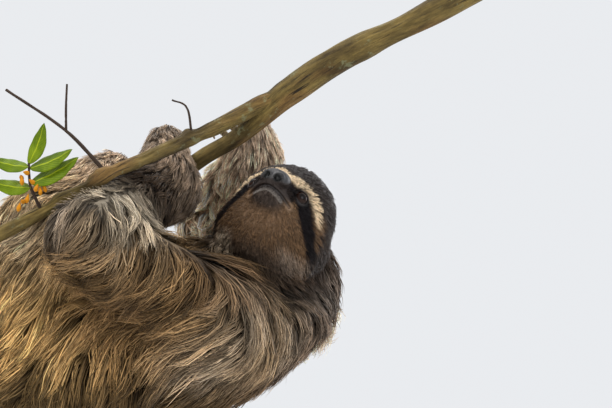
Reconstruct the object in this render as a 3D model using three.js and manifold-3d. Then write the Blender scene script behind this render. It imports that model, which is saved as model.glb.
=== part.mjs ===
// A brown-throated three-toed sloth hanging belly-up from a forked branch, life size, with its display stand.
// Millimetres, +Z up, -Y is the side the animal shows; the origin is the centre of the underside of the base.
// "L" is the animal's own left side, which faces -Y here; "R" is its right side.
import * as THREE from 'three';
import Module from 'manifold-3d';

const wasm = await Module();
wasm.setup();

// Driving sizes
const PIECE_GAP = 0.35;
const JOINT_STEP = 3;
const BASE_LENGTH = 480;
const BASE_DEPTH = 300;
const BASE_THICKNESS = 20;
const BASE_CORNER = 26;
const BASE_BEVEL = 2;
const ROD_RADIUS = 9;
const ROD_X = -203;
const ROD_Y = 109.5;
const EYE_RADIUS = 6.8;
const EYE_SINK = 5.9;
const CLAW_RADIUS = 3.6;
const CLAW_TIP_RADIUS = 0.7;
const CLAW_SPACING = 10;
const CLAW_CLOSING = 0.42;
const CLAW_STEPS = 7;
const CLAW_SIDES = 6;
const LEAF_HALF_THICKNESS = 0.6;

// Centres and coat radii of the body along its axis, from the chest to the end of the tail
const CHEST = { at: [97, -11, 358], radius: 82 };
const WAIST = { at: [13, 15, 329], radius: 97 };
const PELVIS = { at: [-60, 39, 312], radius: 86 };
const RUMP = { at: [-103, 50, 308], radius: 62 };
const TAIL_ROOT = { at: [-118, 54, 305], radius: 26 };
const TAIL_MIDDLE = { at: [-150, 58, 300], radius: 20 };
const TAIL_TIP = { at: [-187, 56, 291], radius: 13 };

// Neck, from inside the head back into the chest
const NAPE = { at: [165, -20, 420], radius: 42 };
const NECK = { at: [177, -6, 398], radius: 40 };
const NECK_ROOT = { at: [155, -9, 370], radius: 52 };
const NECK_END = { at: [120, -11, 358], radius: 66 };

// Left arm, bent across the flank with the hand over the rear branch
const SHOULDER_L = { at: [123, -67, 346], radius: 44 };
const ELBOW_L = { at: [16, -139, 395], radius: 33 };
const WRIST_L = { at: [65, -54, 463], radius: 32 };
const KNUCKLES_L = { at: [62, -25, 516], radius: 19 };

// Right arm, reaching up behind the rear branch
const SHOULDER_R = { at: [171, 36, 382], radius: 42 };
const ELBOW_R = { at: [98, 86, 482], radius: 36 };
const WRIST_R = { at: [137, -2, 512], radius: 28 };
const KNUCKLES_R = { at: [140, -22, 526], radius: 18 };

// Left hind leg
const HIP_L = { at: [-63, -16, 335], radius: 50 };
const KNEE_L = { at: [-33, -85, 414], radius: 36 };
const ANKLE_L = { at: [0, -31, 470], radius: 29 };
const TOES_L = { at: [13, -6, 496], radius: 21 };

// Right hind leg
const HIP_R = { at: [-73, 60, 357], radius: 50 };
const KNEE_R = { at: [-110, 112, 458], radius: 36 };
const ANKLE_R = { at: [-53, 43, 482], radius: 26 };
const TOES_R = { at: [-39, 13, 471], radius: 19 };

// Head frame: centre of the skull, and its right, forward and crown directions
const HEAD_CENTRE = new THREE.Vector3(163, -57.5, 434);
const HEAD_RIGHT = new THREE.Vector3(-0.891, 0.225, 0.393).normalize();
const HEAD_FORWARD = new THREE.Vector3(-0.175, -0.972, 0.16);
HEAD_FORWARD.addScaledVector(HEAD_RIGHT, -HEAD_FORWARD.dot(HEAD_RIGHT)).normalize();
const HEAD_CROWN = new THREE.Vector3().crossVectors(HEAD_RIGHT, HEAD_FORWARD);
const HEAD_SIDES = 22;
const HEAD_RINGS = 13;
const HEAD_BLEND = 13;

// Lobes of the head, in its frame (right, forward, crown): skull, cheeks and jaw, muzzle
const SKULL = { at: [0, -4, 4.5], half: [46, 45, 46.5] };
const CHEEKS = { at: [0, 0, -18], half: [50.5, 41, 34.5] };
const MUZZLE = { at: [0, 31, 7.5], half: [18.5, 25, 15] };
const EYE_AIM = [23.6, 34.6, 11];
const NOSE_PAD = { at: [0, 50, 13.5], half: [12.5, 7.2, 9] };

// Branches: stations of each axis with the bark radius, lower end first
const REAR_BRANCH = [
  { at: [-215, 114.6, 354.5], radius: 11 },
  { at: [-160, 87.9, 381], radius: 10.8 },
  { at: [-105, 61.9, 405.6], radius: 10.3 },
  { at: [-39, 31.4, 433.9], radius: 9.8 },
  { at: [13, 6.7, 457.9], radius: 9.5 },
  { at: [57, -14, 477.5], radius: 8.8 },
  { at: [95, -32.2, 499.5], radius: 8 },
  { at: [128, -49.4, 513.5], radius: 8.4 },
  { at: [161, -69, 537.5], radius: 12.5 },
  { at: [180, -79.3, 548.1], radius: 13.6 },
  { at: [205, -92.4, 560.6], radius: 13.2 },
  { at: [234.5, -106, 571.7], radius: 12.4 },
  { at: [271.7, -120.1, 584.1], radius: 12 },
  { at: [312.4, -135.5, 600.2], radius: 12 },
  { at: [333, -145.7, 607.6], radius: 11.6 },
];
const FRONT_BRANCH = [
  { at: [-77, -128.5, 384.9], radius: 6.5 },
  { at: [-53.8, -131.3, 395.5], radius: 6.7 },
  { at: [-26.9, -134.2, 409.4], radius: 6 },
  { at: [-7.7, -136.3, 421.1], radius: 5.6 },
  { at: [16.5, -135, 435], radius: 5.6 },
  { at: [33.4, -130.4, 448.6], radius: 5.9 },
  { at: [51.1, -116.4, 462.8], radius: 6.2 },
  { at: [69.3, -100.9, 478.6], radius: 6.6 },
  { at: [88.3, -87.3, 494.1], radius: 7 },
  { at: [108.3, -77.6, 508.2], radius: 7.4 },
  { at: [128.8, -72, 522.5], radius: 8 },
  { at: [147.3, -69, 534], radius: 9 },
  { at: [180, -79, 545], radius: 9 },
];
const TWIGS = [
  [
    { at: [90, -87, 495], radius: 1.6 },
    { at: [86.2, -99.8, 516.7], radius: 1.2 },
    { at: [73.7, -102.1, 523], radius: 1 },
  ],
  [
    { at: [29, -132, 444], radius: 2.4 },
    { at: [-7.3, -136, 481.6], radius: 1.9 },
    { at: [-58, -131, 519], radius: 1.6 },
  ],
  [
    { at: [-6.5, -136, 481.5], radius: 1.5 },
    { at: [-6.9, -140, 499], radius: 1.3 },
    { at: [-6.6, -144, 518], radius: 1.1 },
  ],
  [
    { at: [-20.6, -134.5, 412], radius: 2.2 },
    { at: [-24.9, -144.1, 419.1], radius: 1.9 },
    { at: [-29.2, -150.2, 430], radius: 1.6 },
    { at: [-30, -156.5, 445], radius: 1.3 },
  ],
];

// Leaves of the sprig on the front branch: foot, tip and half width of each blade
const LEAVES = [
  { foot: [-30, -156.5, 444], tip: [-17, -172, 472], halfWidth: 6.5 },
  { foot: [-29.5, -155, 441], tip: [4.5, -165, 453], halfWidth: 7.5 },
  { foot: [-28.8, -151, 430], tip: [9, -161, 448], halfWidth: 8.5 },
  { foot: [-30, -156, 442], tip: [-62, -157, 449], halfWidth: 6.5 },
  { foot: [-28.5, -149.5, 427], tip: [-60, -154, 431], halfWidth: 7.5 },
];

// Colours and finishes
const COAT = { color: 0x8b7559, roughness: 0.95, metalness: 0 };
const COAT_DARK = { color: 0x6e5c48, roughness: 0.95, metalness: 0 };
const NOSE_SKIN = { color: 0x3f3d40, roughness: 0.55, metalness: 0 };
const EYE_DARK = { color: 0x1c110a, roughness: 0.12, metalness: 0 };
const HORN = { color: 0xb5a384, roughness: 0.5, metalness: 0 };
const BARK = { color: 0x8d7c62, roughness: 0.9, metalness: 0 };
const LEAF = { color: 0x76962f, roughness: 0.5, metalness: 0 };
const PAINT = { color: 0x2c2e31, roughness: 0.6, metalness: 0 };
const STEEL = { color: 0xa8abae, roughness: 0.35, metalness: 1 };

// Turns a list of rings, each a list of points, plus two end points, into a closed geometry.
function closedRings(startPole, rings, endPole) {
  const sides = rings[0].length;
  const points = [startPole, ...rings.flat(), endPole];
  const last = points.length - 1;
  const faces = [];
  for (let side = 0; side < sides; side += 1) {
    const next = (side + 1) % sides;
    faces.push(0, 1 + next, 1 + side);
    for (let ring = 0; ring < rings.length - 1; ring += 1) {
      const near = 1 + ring * sides;
      const far = near + sides;
      faces.push(near + side, near + next, far + side);
      faces.push(near + next, far + next, far + side);
    }
    const rim = 1 + (rings.length - 1) * sides;
    faces.push(last, rim + side, rim + next);
  }
  const geometry = new THREE.BufferGeometry();
  const flat = points.flatMap((point) => [point.x, point.y, point.z]);
  geometry.setAttribute('position', new THREE.Float32BufferAttribute(flat, 3));
  geometry.setIndex(faces);
  return geometry;
}

// Stations along a smooth curve through the given ones, with the radius eased between them.
function smoothStations(stations, steps) {
  const curve = new THREE.CatmullRomCurve3(stations.map((one) => new THREE.Vector3(...one.at)));
  const radii = new THREE.SplineCurve(stations.map((one, index) => new THREE.Vector2(index, one.radius)));
  return Array.from({ length: steps + 1 }, (_, step) => ({
    at: curve.getPoint(step / steps).toArray(),
    radius: radii.getPoint(step / steps).y,
  }));
}

// A round bar through the stations; round ends are domes, the others are flat.
function bar(stations, sides, grow = 0, roundEnds = true) {
  const centres = stations.map((one) => new THREE.Vector3(...one.at));
  const radii = stations.map((one) => one.radius + grow);
  const count = centres.length;
  const along = centres.map((centre, index) => {
    const before = centres[Math.max(index - 1, 0)];
    const after = centres[Math.min(index + 1, count - 1)];
    return after.clone().sub(before).normalize();
  });
  let across = new THREE.Vector3(0.31, 0.95, 0.17);
  const rings = [];
  const addRing = (centre, direction, radius) => {
    across = across.clone().addScaledVector(direction, -across.dot(direction)).normalize();
    const other = new THREE.Vector3().crossVectors(direction, across);
    rings.push(
      Array.from({ length: sides }, (_, side) => {
        const angle = (2 * Math.PI * side) / sides;
        const spoke = across.clone().multiplyScalar(Math.cos(angle));
        spoke.addScaledVector(other, Math.sin(angle));
        return centre.clone().addScaledVector(spoke, radius);
      }),
    );
  };
  const domeAngles = roundEnds ? [Math.PI / 6, Math.PI / 3] : [];
  for (const angle of domeAngles) {
    const back = -radii[0] * Math.cos(angle);
    addRing(centres[0].clone().addScaledVector(along[0], back), along[0], radii[0] * Math.sin(angle));
  }
  centres.forEach((centre, index) => addRing(centre, along[index], radii[index]));
  const end = count - 1;
  for (const angle of [...domeAngles].reverse()) {
    const forth = radii[end] * Math.cos(angle);
    const centre = centres[end].clone().addScaledVector(along[end], forth);
    addRing(centre, along[end], radii[end] * Math.sin(angle));
  }
  const reach = roundEnds ? 1 : 0;
  const startPole = centres[0].clone().addScaledVector(along[0], -radii[0] * reach);
  const endPole = centres[end].clone().addScaledVector(along[end], radii[end] * reach);
  return closedRings(startPole, rings, endPole);
}

// Signed distance, near enough, to an ellipsoid in the head frame.
function lobeDistance(point, lobe, grow) {
  const offset = point.map((value, axis) => value - lobe.at[axis]);
  const scaled = Math.hypot(...offset.map((value, axis) => value / (lobe.half[axis] + grow)));
  const slope = Math.hypot(...offset.map((value, axis) => value / (lobe.half[axis] + grow) ** 2));
  return (scaled * (scaled - 1)) / Math.max(slope, 1e-9);
}

// Minimum of two distances with the crease between them rounded off.
function blend(first, second, width) {
  const share = Math.max(width - Math.abs(first - second), 0) / width;
  return Math.min(first, second) - (share * share * width) / 4;
}

function headDistance(point, grow) {
  const round = blend(lobeDistance(point, SKULL, grow), lobeDistance(point, CHEEKS, grow), HEAD_BLEND);
  return blend(round, lobeDistance(point, MUZZLE, grow), HEAD_BLEND);
}

// How far the head's surface lies from its centre in a direction given in the head frame.
function headReach(direction, grow) {
  let inside = 5;
  let outside = 90;
  for (let step = 0; step < 30; step += 1) {
    const middle = (inside + outside) / 2;
    const distance = headDistance(direction.map((value) => value * middle), grow);
    if (distance < 0) inside = middle;
    else outside = middle;
  }
  return inside;
}

function fromHead(point) {
  const place = HEAD_CENTRE.clone().addScaledVector(HEAD_RIGHT, point[0]);
  return place.addScaledVector(HEAD_FORWARD, point[1]).addScaledVector(HEAD_CROWN, point[2]);
}

// The head, as rings round the line from the nape to the nose.
function headShape(grow = 0) {
  const at = (polar, turn) => {
    const ring = Math.sin(polar);
    const direction = [ring * Math.cos(turn), -Math.cos(polar), ring * Math.sin(turn)];
    const reach = headReach(direction, grow);
    return fromHead(direction.map((value) => value * reach));
  };
  const rings = Array.from({ length: HEAD_RINGS }, (_, ring) => {
    const polar = (Math.PI * (ring + 1)) / (HEAD_RINGS + 1);
    return Array.from({ length: HEAD_SIDES }, (__, side) => at(polar, (-2 * Math.PI * side) / HEAD_SIDES));
  });
  return closedRings(at(0, 0), rings, at(Math.PI, 0));
}

// A ball stretched to the half sizes of a lobe, set in the head frame.
function lobeShape(lobe, grow, segments) {
  const ball = new THREE.SphereGeometry(1, segments, Math.round(segments * 0.7));
  const turn = new THREE.Matrix4().makeBasis(HEAD_RIGHT, HEAD_FORWARD, HEAD_CROWN);
  const size = new THREE.Matrix4().makeScale(...lobe.half.map((value) => value + grow));
  const place = fromHead(lobe.at);
  return ball.applyMatrix4(size).applyMatrix4(turn).translate(place.x, place.y, place.z);
}

function eyeCentre(side) {
  const aim = new THREE.Vector3(side * EYE_AIM[0], EYE_AIM[1], EYE_AIM[2]).normalize().toArray();
  const reach = headReach(aim, 0) - EYE_SINK;
  return fromHead(aim.map((value) => value * reach));
}

function eyeShape(side, grow = 0) {
  const centre = eyeCentre(side);
  return new THREE.SphereGeometry(EYE_RADIUS + grow, 12, 8).translate(centre.x, centre.y, centre.z);
}

// A hooked claw wound round a branch: its plane is square to the branch at the centre.
function clawShape(paw, offset, grow = 0) {
  const branch = new THREE.Vector3(...paw.branch).normalize();
  const upward = new THREE.Vector3(0, 0, 1).addScaledVector(branch, -branch.z).normalize();
  const centre = new THREE.Vector3(...paw.centre).addScaledVector(branch, offset * CLAW_SPACING);
  const stations = Array.from({ length: CLAW_STEPS + 1 }, (_, step) => {
    const share = step / CLAW_STEPS;
    const angle = paw.from + (paw.to - paw.from) * share;
    const reach = THREE.MathUtils.lerp(paw.rootReach, paw.tipReach, share ** CLAW_CLOSING);
    const arm = upward.clone().applyAxisAngle(branch, THREE.MathUtils.degToRad(angle));
    const radius = THREE.MathUtils.lerp(CLAW_RADIUS, CLAW_TIP_RADIUS, share ** 1.5) + grow;
    return { at: centre.clone().addScaledVector(arm, reach).toArray(), radius };
  });
  return bar(stations, CLAW_SIDES, 0, false);
}

// A leaf blade: a thin diamond section swept from foot to tip, widest before the middle.
function leafShape(leaf) {
  const foot = new THREE.Vector3(...leaf.foot);
  const tip = new THREE.Vector3(...leaf.tip);
  const along = tip.clone().sub(foot).normalize();
  const across = new THREE.Vector3().crossVectors(along, new THREE.Vector3(0, -1, 0.35)).normalize();
  const normal = new THREE.Vector3().crossVectors(along, across);
  const shares = [0.08, 0.2, 0.35, 0.5, 0.65, 0.8, 0.92];
  const rings = shares.map((share) => {
    const half = leaf.halfWidth * Math.sin(Math.PI * share ** 0.8) ** 0.8;
    const bow = normal.clone().multiplyScalar(2.5 * Math.sin(Math.PI * share));
    const middle = foot.clone().lerp(tip, share).add(bow);
    return [
      middle.clone().addScaledVector(across, half),
      middle.clone().addScaledVector(normal, LEAF_HALF_THICKNESS),
      middle.clone().addScaledVector(across, -half),
      middle.clone().addScaledVector(normal, -LEAF_HALF_THICKNESS),
    ];
  });
  return closedRings(foot, rings, tip);
}

// The base plate, a rounded rectangle with a small bevel all round.
function baseShape() {
  const halfLength = BASE_LENGTH / 2 - BASE_BEVEL;
  const halfDepth = BASE_DEPTH / 2 - BASE_BEVEL;
  const outline = new THREE.Shape();
  outline.moveTo(-halfLength + BASE_CORNER, -halfDepth);
  outline.lineTo(halfLength - BASE_CORNER, -halfDepth);
  outline.absarc(halfLength - BASE_CORNER, -halfDepth + BASE_CORNER, BASE_CORNER, -Math.PI / 2, 0);
  outline.absarc(halfLength - BASE_CORNER, halfDepth - BASE_CORNER, BASE_CORNER, 0, Math.PI / 2);
  outline.absarc(-halfLength + BASE_CORNER, halfDepth - BASE_CORNER, BASE_CORNER, Math.PI / 2, Math.PI);
  outline.absarc(-halfLength + BASE_CORNER, -halfDepth + BASE_CORNER, BASE_CORNER, Math.PI, 1.5 * Math.PI);
  const plate = new THREE.ExtrudeGeometry(outline, {
    depth: BASE_THICKNESS - 2 * BASE_BEVEL,
    bevelThickness: BASE_BEVEL,
    bevelSize: BASE_BEVEL,
    bevelSegments: 1,
    curveSegments: 5,
  });
  return plate.translate(0, 0, BASE_BEVEL);
}

// Geometry to solid: corners that coincide are merged first.
function solidOf(geometry) {
  const places = geometry.getAttribute('position');
  const everyPlace = Array.from({ length: places.count }, (_, place) => place);
  const corners = geometry.index ? Array.from(geometry.index.array) : everyPlace;
  const seen = new Map();
  const points = [];
  const merged = corners.map((corner) => {
    const point = [places.getX(corner), places.getY(corner), places.getZ(corner)];
    const key = point.map((value) => Math.round(value * 1e4)).join(' ');
    if (!seen.has(key)) {
      seen.set(key, points.length / 3);
      points.push(...point);
    }
    return seen.get(key);
  });
  const faces = [];
  for (let face = 0; face < merged.length; face += 3) {
    const [one, two, three] = merged.slice(face, face + 3);
    if (one !== two && two !== three && three !== one) faces.push(one, two, three);
  }
  return new wasm.Manifold(
    new wasm.Mesh({
      numProp: 3,
      vertProperties: new Float32Array(points),
      triVerts: new Uint32Array(faces),
    }),
  );
}

// Takes the cutters out of a solid and keeps its largest body.
function carve(solid, cutters) {
  const left = cutters.length ? wasm.Manifold.difference([solid, ...cutters]) : solid;
  return left.decompose().reduce((best, body) => (body.volume() > best.volume() ? body : best));
}

function geometryOf(solid) {
  const mesh = solid.getMesh();
  const geometry = new THREE.BufferGeometry();
  geometry.setAttribute('position', new THREE.BufferAttribute(new Float32Array(mesh.vertProperties), 3));
  geometry.setIndex(new THREE.BufferAttribute(new Uint32Array(mesh.triVerts), 1));
  return geometry;
}

const group = new THREE.Group();
group.name = 'three_toed_sloth';

// Adds a mesh whose own origin is the middle of its box.
function addMesh(name, geometry, finish) {
  geometry.computeBoundingBox();
  const middle = geometry.boundingBox.getCenter(new THREE.Vector3());
  geometry.translate(-middle.x, -middle.y, -middle.z);
  geometry.computeVertexNormals();
  const mesh = new THREE.Mesh(geometry, new THREE.MeshStandardMaterial({ ...finish, flatShading: true }));
  mesh.name = name;
  mesh.position.copy(middle);
  group.add(mesh);
}

// The branch with its fork and twigs is one body.
function perchSolid(grow) {
  const bars = [
    bar(smoothStations(REAR_BRANCH, 20), 10, grow, false),
    bar(smoothStations(FRONT_BRANCH, 16), 8, grow, false),
    ...TWIGS.map((twig) => bar(twig, 5, grow, false)),
  ];
  return wasm.Manifold.union(bars.map(solidOf));
}

const perch = perchSolid(0);
const perchRoom = perchSolid(PIECE_GAP);

// Each paw: the branch direction and axis point it grips, and the angles and reaches of its claws.
// Angles turn about the branch from straight up; a positive one leans to the shown side.
const PAWS = {
  hand_L: {
    branch: [38, -18, 18],
    centre: [57, -14, 477.5],
    from: -8,
    to: -205,
    rootReach: 38,
    tipReach: 12.5,
  },
  hand_R: {
    branch: [33, -17, 15],
    centre: [121, -45.8, 510.5],
    from: -80,
    to: 78,
    rootReach: 42,
    tipReach: 12.5,
  },
  foot_L: {
    branch: [44, -22, 21],
    centre: [13, 6.7, 457.9],
    from: -4,
    to: -195,
    rootReach: 36,
    tipReach: 12.5,
  },
  foot_R: {
    branch: [52, -25, 24],
    centre: [-39, 31.4, 433.9],
    from: 12,
    to: 195,
    rootReach: 38,
    tipReach: 12.5,
  },
};
const CLAW_PLACES = [-1, 0, 1];
const clawRoom = Object.values(PAWS).flatMap((paw) =>
  CLAW_PLACES.map((place) => solidOf(clawShape(paw, place, PIECE_GAP))),
);

// The first piece at a joint keeps its full dome; the next one starts a little slimmer inside it.
const slim = (station) => ({ at: station.at, radius: station.radius - JOINT_STEP });
const trunkLine = smoothStations([CHEST, WAIST, PELVIS, RUMP], 9);
const FLESH = [
  { name: 'trunk', line: trunkLine, sides: 20, finish: COAT },
  { name: 'neck', line: [NAPE, NECK, NECK_ROOT, NECK_END], sides: 18, finish: COAT },
  { name: 'tail', line: [TAIL_ROOT, TAIL_MIDDLE, TAIL_TIP], sides: 10, finish: COAT },
  { name: 'upper_arm_L', line: [SHOULDER_L, ELBOW_L], sides: 16, finish: COAT },
  { name: 'forearm_L', line: [slim(ELBOW_L), WRIST_L], sides: 14, finish: COAT },
  { name: 'hand_L', line: [slim(WRIST_L), KNUCKLES_L], sides: 12, finish: COAT_DARK },
  { name: 'upper_arm_R', line: [SHOULDER_R, ELBOW_R], sides: 16, finish: COAT },
  { name: 'forearm_R', line: [slim(ELBOW_R), WRIST_R], sides: 14, finish: COAT },
  { name: 'hand_R', line: [slim(WRIST_R), KNUCKLES_R], sides: 12, finish: COAT_DARK },
  { name: 'thigh_L', line: [HIP_L, KNEE_L], sides: 16, finish: COAT },
  { name: 'shank_L', line: [slim(KNEE_L), ANKLE_L], sides: 14, finish: COAT },
  { name: 'foot_L', line: [slim(ANKLE_L), TOES_L], sides: 12, finish: COAT_DARK },
  { name: 'thigh_R', line: [HIP_R, KNEE_R], sides: 16, finish: COAT },
  { name: 'shank_R', line: [slim(KNEE_R), ANKLE_R], sides: 14, finish: COAT },
  { name: 'foot_R', line: [slim(ANKLE_R), TOES_R], sides: 12, finish: COAT_DARK },
];

// Head, with sockets for the eyes and a seat for the nose pad
const headRoom = solidOf(headShape(PIECE_GAP));
const eyeRooms = [1, -1].map((side) => solidOf(eyeShape(side, PIECE_GAP)));
const noseRoom = solidOf(lobeShape(NOSE_PAD, PIECE_GAP, 12));
addMesh('head', geometryOf(carve(solidOf(headShape()), [...eyeRooms, noseRoom, perchRoom])), COAT_DARK);
addMesh('eye_R', eyeShape(1), EYE_DARK);
addMesh('eye_L', eyeShape(-1), EYE_DARK);
addMesh('nose', lobeShape(NOSE_PAD, 0, 12), NOSE_SKIN);

// Every other piece of the body gives way to the head, the branch, the claws and the pieces before it.
const taken = [headRoom, perchRoom, ...clawRoom];
for (const piece of FLESH) {
  const whole = solidOf(bar(piece.line, piece.sides));
  addMesh(piece.name, geometryOf(carve(whole, taken)), piece.finish);
  taken.push(solidOf(bar(piece.line, piece.sides, PIECE_GAP)));
}

// Claws, three on each paw, numbered from the lower end of the branch
for (const [paw, hold] of Object.entries(PAWS)) {
  CLAW_PLACES.forEach((place, index) => {
    addMesh(`claw_${paw}_${index + 1}`, clawShape(hold, place), HORN);
  });
}

// Branch, leaves and stand
addMesh('perch', geometryOf(perch), BARK);
LEAVES.forEach((leaf, index) => {
  addMesh(`perch_leaf_${index + 1}`, geometryOf(carve(solidOf(leafShape(leaf)), [perchRoom])), LEAF);
});
addMesh('stand_base', baseShape(), PAINT);
const rodLength = REAR_BRANCH[0].at[2] - BASE_THICKNESS - PIECE_GAP;
const rod = new THREE.CylinderGeometry(ROD_RADIUS, ROD_RADIUS, rodLength, 24).rotateX(Math.PI / 2);
rod.translate(ROD_X, ROD_Y, BASE_THICKNESS + PIECE_GAP + rodLength / 2);
addMesh('stand_rod', geometryOf(carve(solidOf(rod), [perchRoom])), STEEL);

export default group;
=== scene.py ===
import math

import bmesh
import bpy
import numpy as np
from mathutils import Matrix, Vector
from mathutils.kdtree import KDTree


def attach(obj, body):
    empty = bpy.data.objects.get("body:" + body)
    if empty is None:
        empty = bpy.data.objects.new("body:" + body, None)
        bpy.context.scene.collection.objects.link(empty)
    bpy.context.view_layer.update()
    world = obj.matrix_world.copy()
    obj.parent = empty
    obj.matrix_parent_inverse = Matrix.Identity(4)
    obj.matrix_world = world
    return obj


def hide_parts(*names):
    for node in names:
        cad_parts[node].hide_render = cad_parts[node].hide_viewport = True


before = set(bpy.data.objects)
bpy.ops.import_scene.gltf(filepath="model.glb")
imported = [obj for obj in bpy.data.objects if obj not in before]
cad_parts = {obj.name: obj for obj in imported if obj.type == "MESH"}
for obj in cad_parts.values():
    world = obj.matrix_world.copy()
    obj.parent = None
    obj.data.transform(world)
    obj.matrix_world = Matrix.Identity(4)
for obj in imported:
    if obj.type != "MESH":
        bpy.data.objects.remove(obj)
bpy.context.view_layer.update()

SEED = 7
MM = 0.001
HAIR_SHARE = 0.83
PIECE_TRIANGLES = 180000
BAKE_PATCH = 0.003
TIP_SHADE = 1.35

# ---------------------------------------------------------------- pose and sizes

# Name: centre, coat radius
JOINTS = {
    "chest": ((97, -11, 358), 82),
    "waist": ((13, 15, 329), 97),
    "pelvis": ((-60, 39, 312), 86),
    "rump": ((-103, 50, 308), 62),
    "tail_root": ((-118, 54, 305), 26),
    "tail_middle": ((-150, 58, 300), 20),
    "tail_tip": ((-187, 56, 291), 13),
    "nape": ((165, -20, 420), 42),
    "neck": ((177, -6, 398), 40),
    "neck_root": ((155, -9, 370), 52),
    "neck_end": ((120, -11, 358), 66),
    "shoulder_L": ((123, -67, 346), 44),
    "elbow_L": ((16, -139, 395), 33),
    "wrist_L": ((65, -54, 463), 32),
    "knuckles_L": ((62, -25, 516), 19),
    "shoulder_R": ((171, 36, 382), 42),
    "elbow_R": ((98, 86, 482), 36),
    "wrist_R": ((137, -2, 512), 28),
    "knuckles_R": ((140, -22, 526), 18),
    "hip_L": ((-63, -16, 335), 50),
    "knee_L": ((-33, -85, 414), 36),
    "ankle_L": ((0, -31, 470), 29),
    "toes_L": ((13, -6, 496), 21),
    "hip_R": ((-73, 60, 357), 50),
    "knee_R": ((-110, 112, 458), 36),
    "ankle_R": ((-53, 43, 482), 26),
    "toes_R": ((-39, 13, 471), 19),
}

# Part: joints along it, coat depth, loft, hair length, hair width, tufts per square mm, clump size, curl
PARTS = {
    "trunk": (["chest", "waist", "pelvis", "rump"], 14, 17, 50, 1.4, 0.150, 11, 1.0),
    "neck": (["nape", "neck", "neck_root", "neck_end"], 11, 12, 34, 1.5, 0.190, 9, 0.7),
    "tail": (["tail_root", "tail_middle", "tail_tip"], 6, 7, 22, 1.5, 0.200, 8, 0.4),
    "upper_arm_L": (["shoulder_L", "elbow_L"], 11, 13, 66, 1.4, 0.360, 12, 1.0),
    "forearm_L": (["elbow_L", "wrist_L"], 8, 9, 24, 0.9, 0.460, 7, 1.1),
    "hand_L": (["wrist_L", "knuckles_L"], 4, 4.5, 19, 0.75, 0.480, 5, 0.4),
    "upper_arm_R": (["shoulder_R", "elbow_R"], 9, 12, 30, 1.0, 0.340, 6, 2.4),
    "forearm_R": (["elbow_R", "wrist_R"], 7, 9, 18, 1.2, 0.400, 6, 1.6),
    "hand_R": (["wrist_R", "knuckles_R"], 4, 4.5, 19, 0.8, 0.420, 5, 0.4),
    "thigh_L": (["hip_L", "knee_L"], 11, 13, 54, 1.6, 0.260, 12, 0.8),
    "shank_L": (["knee_L", "ankle_L"], 8, 9, 26, 0.95, 0.420, 7, 0.6),
    "foot_L": (["ankle_L", "toes_L"], 4, 4.5, 19, 0.75, 0.480, 5, 0.4),
    "thigh_R": (["hip_R", "knee_R"], 11, 13, 44, 1.8, 0.150, 11, 0.7),
    "shank_R": (["knee_R", "ankle_R"], 8, 10, 28, 1.6, 0.200, 9, 0.9),
    "foot_R": (["ankle_R", "toes_R"], 4, 4.5, 19, 0.9, 0.360, 5, 0.4),
}
PART_NAMES = list(PARTS) + ["head"]
# Widths over which one form runs into the next
BODY_BLEND, HEAD_BLEND, PAW_BLEND, BEND_BLEND = 16.0, 12.0, 7.0, 10.0
# The side view's plane leans back by this much; its two directions off the horizontal
SIDE_LEAN = math.radians(20)
SIDE_UP = np.array([0, -math.sin(SIDE_LEAN), math.cos(SIDE_LEAN)])
SIDE_AWAY = np.array([0, math.cos(SIDE_LEAN), math.sin(SIDE_LEAN)])
PERCH_ROOM = 0.8
FAR_OFF = 1e3

# Head frame: the animal's right, forward and crown directions about the skull's centre
HEAD_CENTRE = np.array([163.0, -57.5, 434.0])
HEAD_RIGHT = np.array([-0.891, 0.225, 0.393])
HEAD_FORWARD = np.array([-0.175, -0.972, 0.160])
HEAD_RIGHT /= np.linalg.norm(HEAD_RIGHT)
HEAD_FORWARD -= HEAD_RIGHT * (HEAD_FORWARD @ HEAD_RIGHT)
HEAD_FORWARD /= np.linalg.norm(HEAD_FORWARD)
HEAD_CROWN = np.cross(HEAD_RIGHT, HEAD_FORWARD)
HEAD_AXES = np.array([HEAD_RIGHT, HEAD_FORWARD, HEAD_CROWN])

# Lobes in the head frame: centre, half sizes, blend width
HEAD_LOBES = [
    ((0, -4, 4.5), (42.5, 42.0, 43), 0),
    ((0, 2, -17), (41, 38, 31), 12),
    ((30, -4, -20), (17, 20, 18), 14),
    ((-30, -4, -20), (17, 20, 18), 14),
    ((0, 30, 9), (17.5, 24.5, 13), 12),
    ((0, 31, -2), (14, 17, 9), 8),
    ((0, 48.5, 13), (10.5, 6.5, 7.0), 6),
    ((0, 31, 21), (13, 9, 8), 12),
]
EYE = np.array([23.6, 34.6, 11.0])
EYE_RADIUS = 6.8
EYE_SINK = 4.9
EYE_OPENING = (6.0, 4.9)
HEAD_SEARCH, SEARCH_ROUNDS = (5.0, 90.0), 30

REAR_BRANCH = [
    ((-215, 114.6, 354.5), 11), ((-160, 87.9, 381), 10.8), ((-105, 61.9, 405.6), 10.3),
    ((-39, 31.4, 433.9), 9.8), ((13, 6.7, 457.9), 9.5), ((57, -14, 477.5), 8.8),
    ((95, -32.2, 499.5), 8), ((128, -49.4, 513.5), 8.4), ((161, -69, 537.5), 12.5),
    ((180, -79.3, 548.1), 13.6), ((205, -92.4, 560.6), 13.2), ((234.5, -106, 571.7), 12.4),
    ((271.7, -120.1, 584.1), 12), ((312.4, -135.5, 600.2), 12), ((333, -145.7, 607.6), 11.6),
]
FRONT_BRANCH = [
    ((-77, -128.5, 384.9), 6.5), ((-53.8, -131.3, 395.5), 6.7), ((-26.9, -134.2, 409.4), 6),
    ((-7.7, -136.3, 421.1), 5.6), ((16.5, -135, 435), 5.6), ((33.4, -130.4, 448.6), 5.9),
    ((51.1, -116.4, 462.8), 6.2), ((69.3, -100.9, 478.6), 6.6), ((88.3, -87.3, 494.1), 7),
    ((108.3, -77.6, 508.2), 7.4), ((128.8, -72, 522.5), 8), ((147.3, -69, 534), 9), ((180, -79, 545), 9),
]


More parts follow.
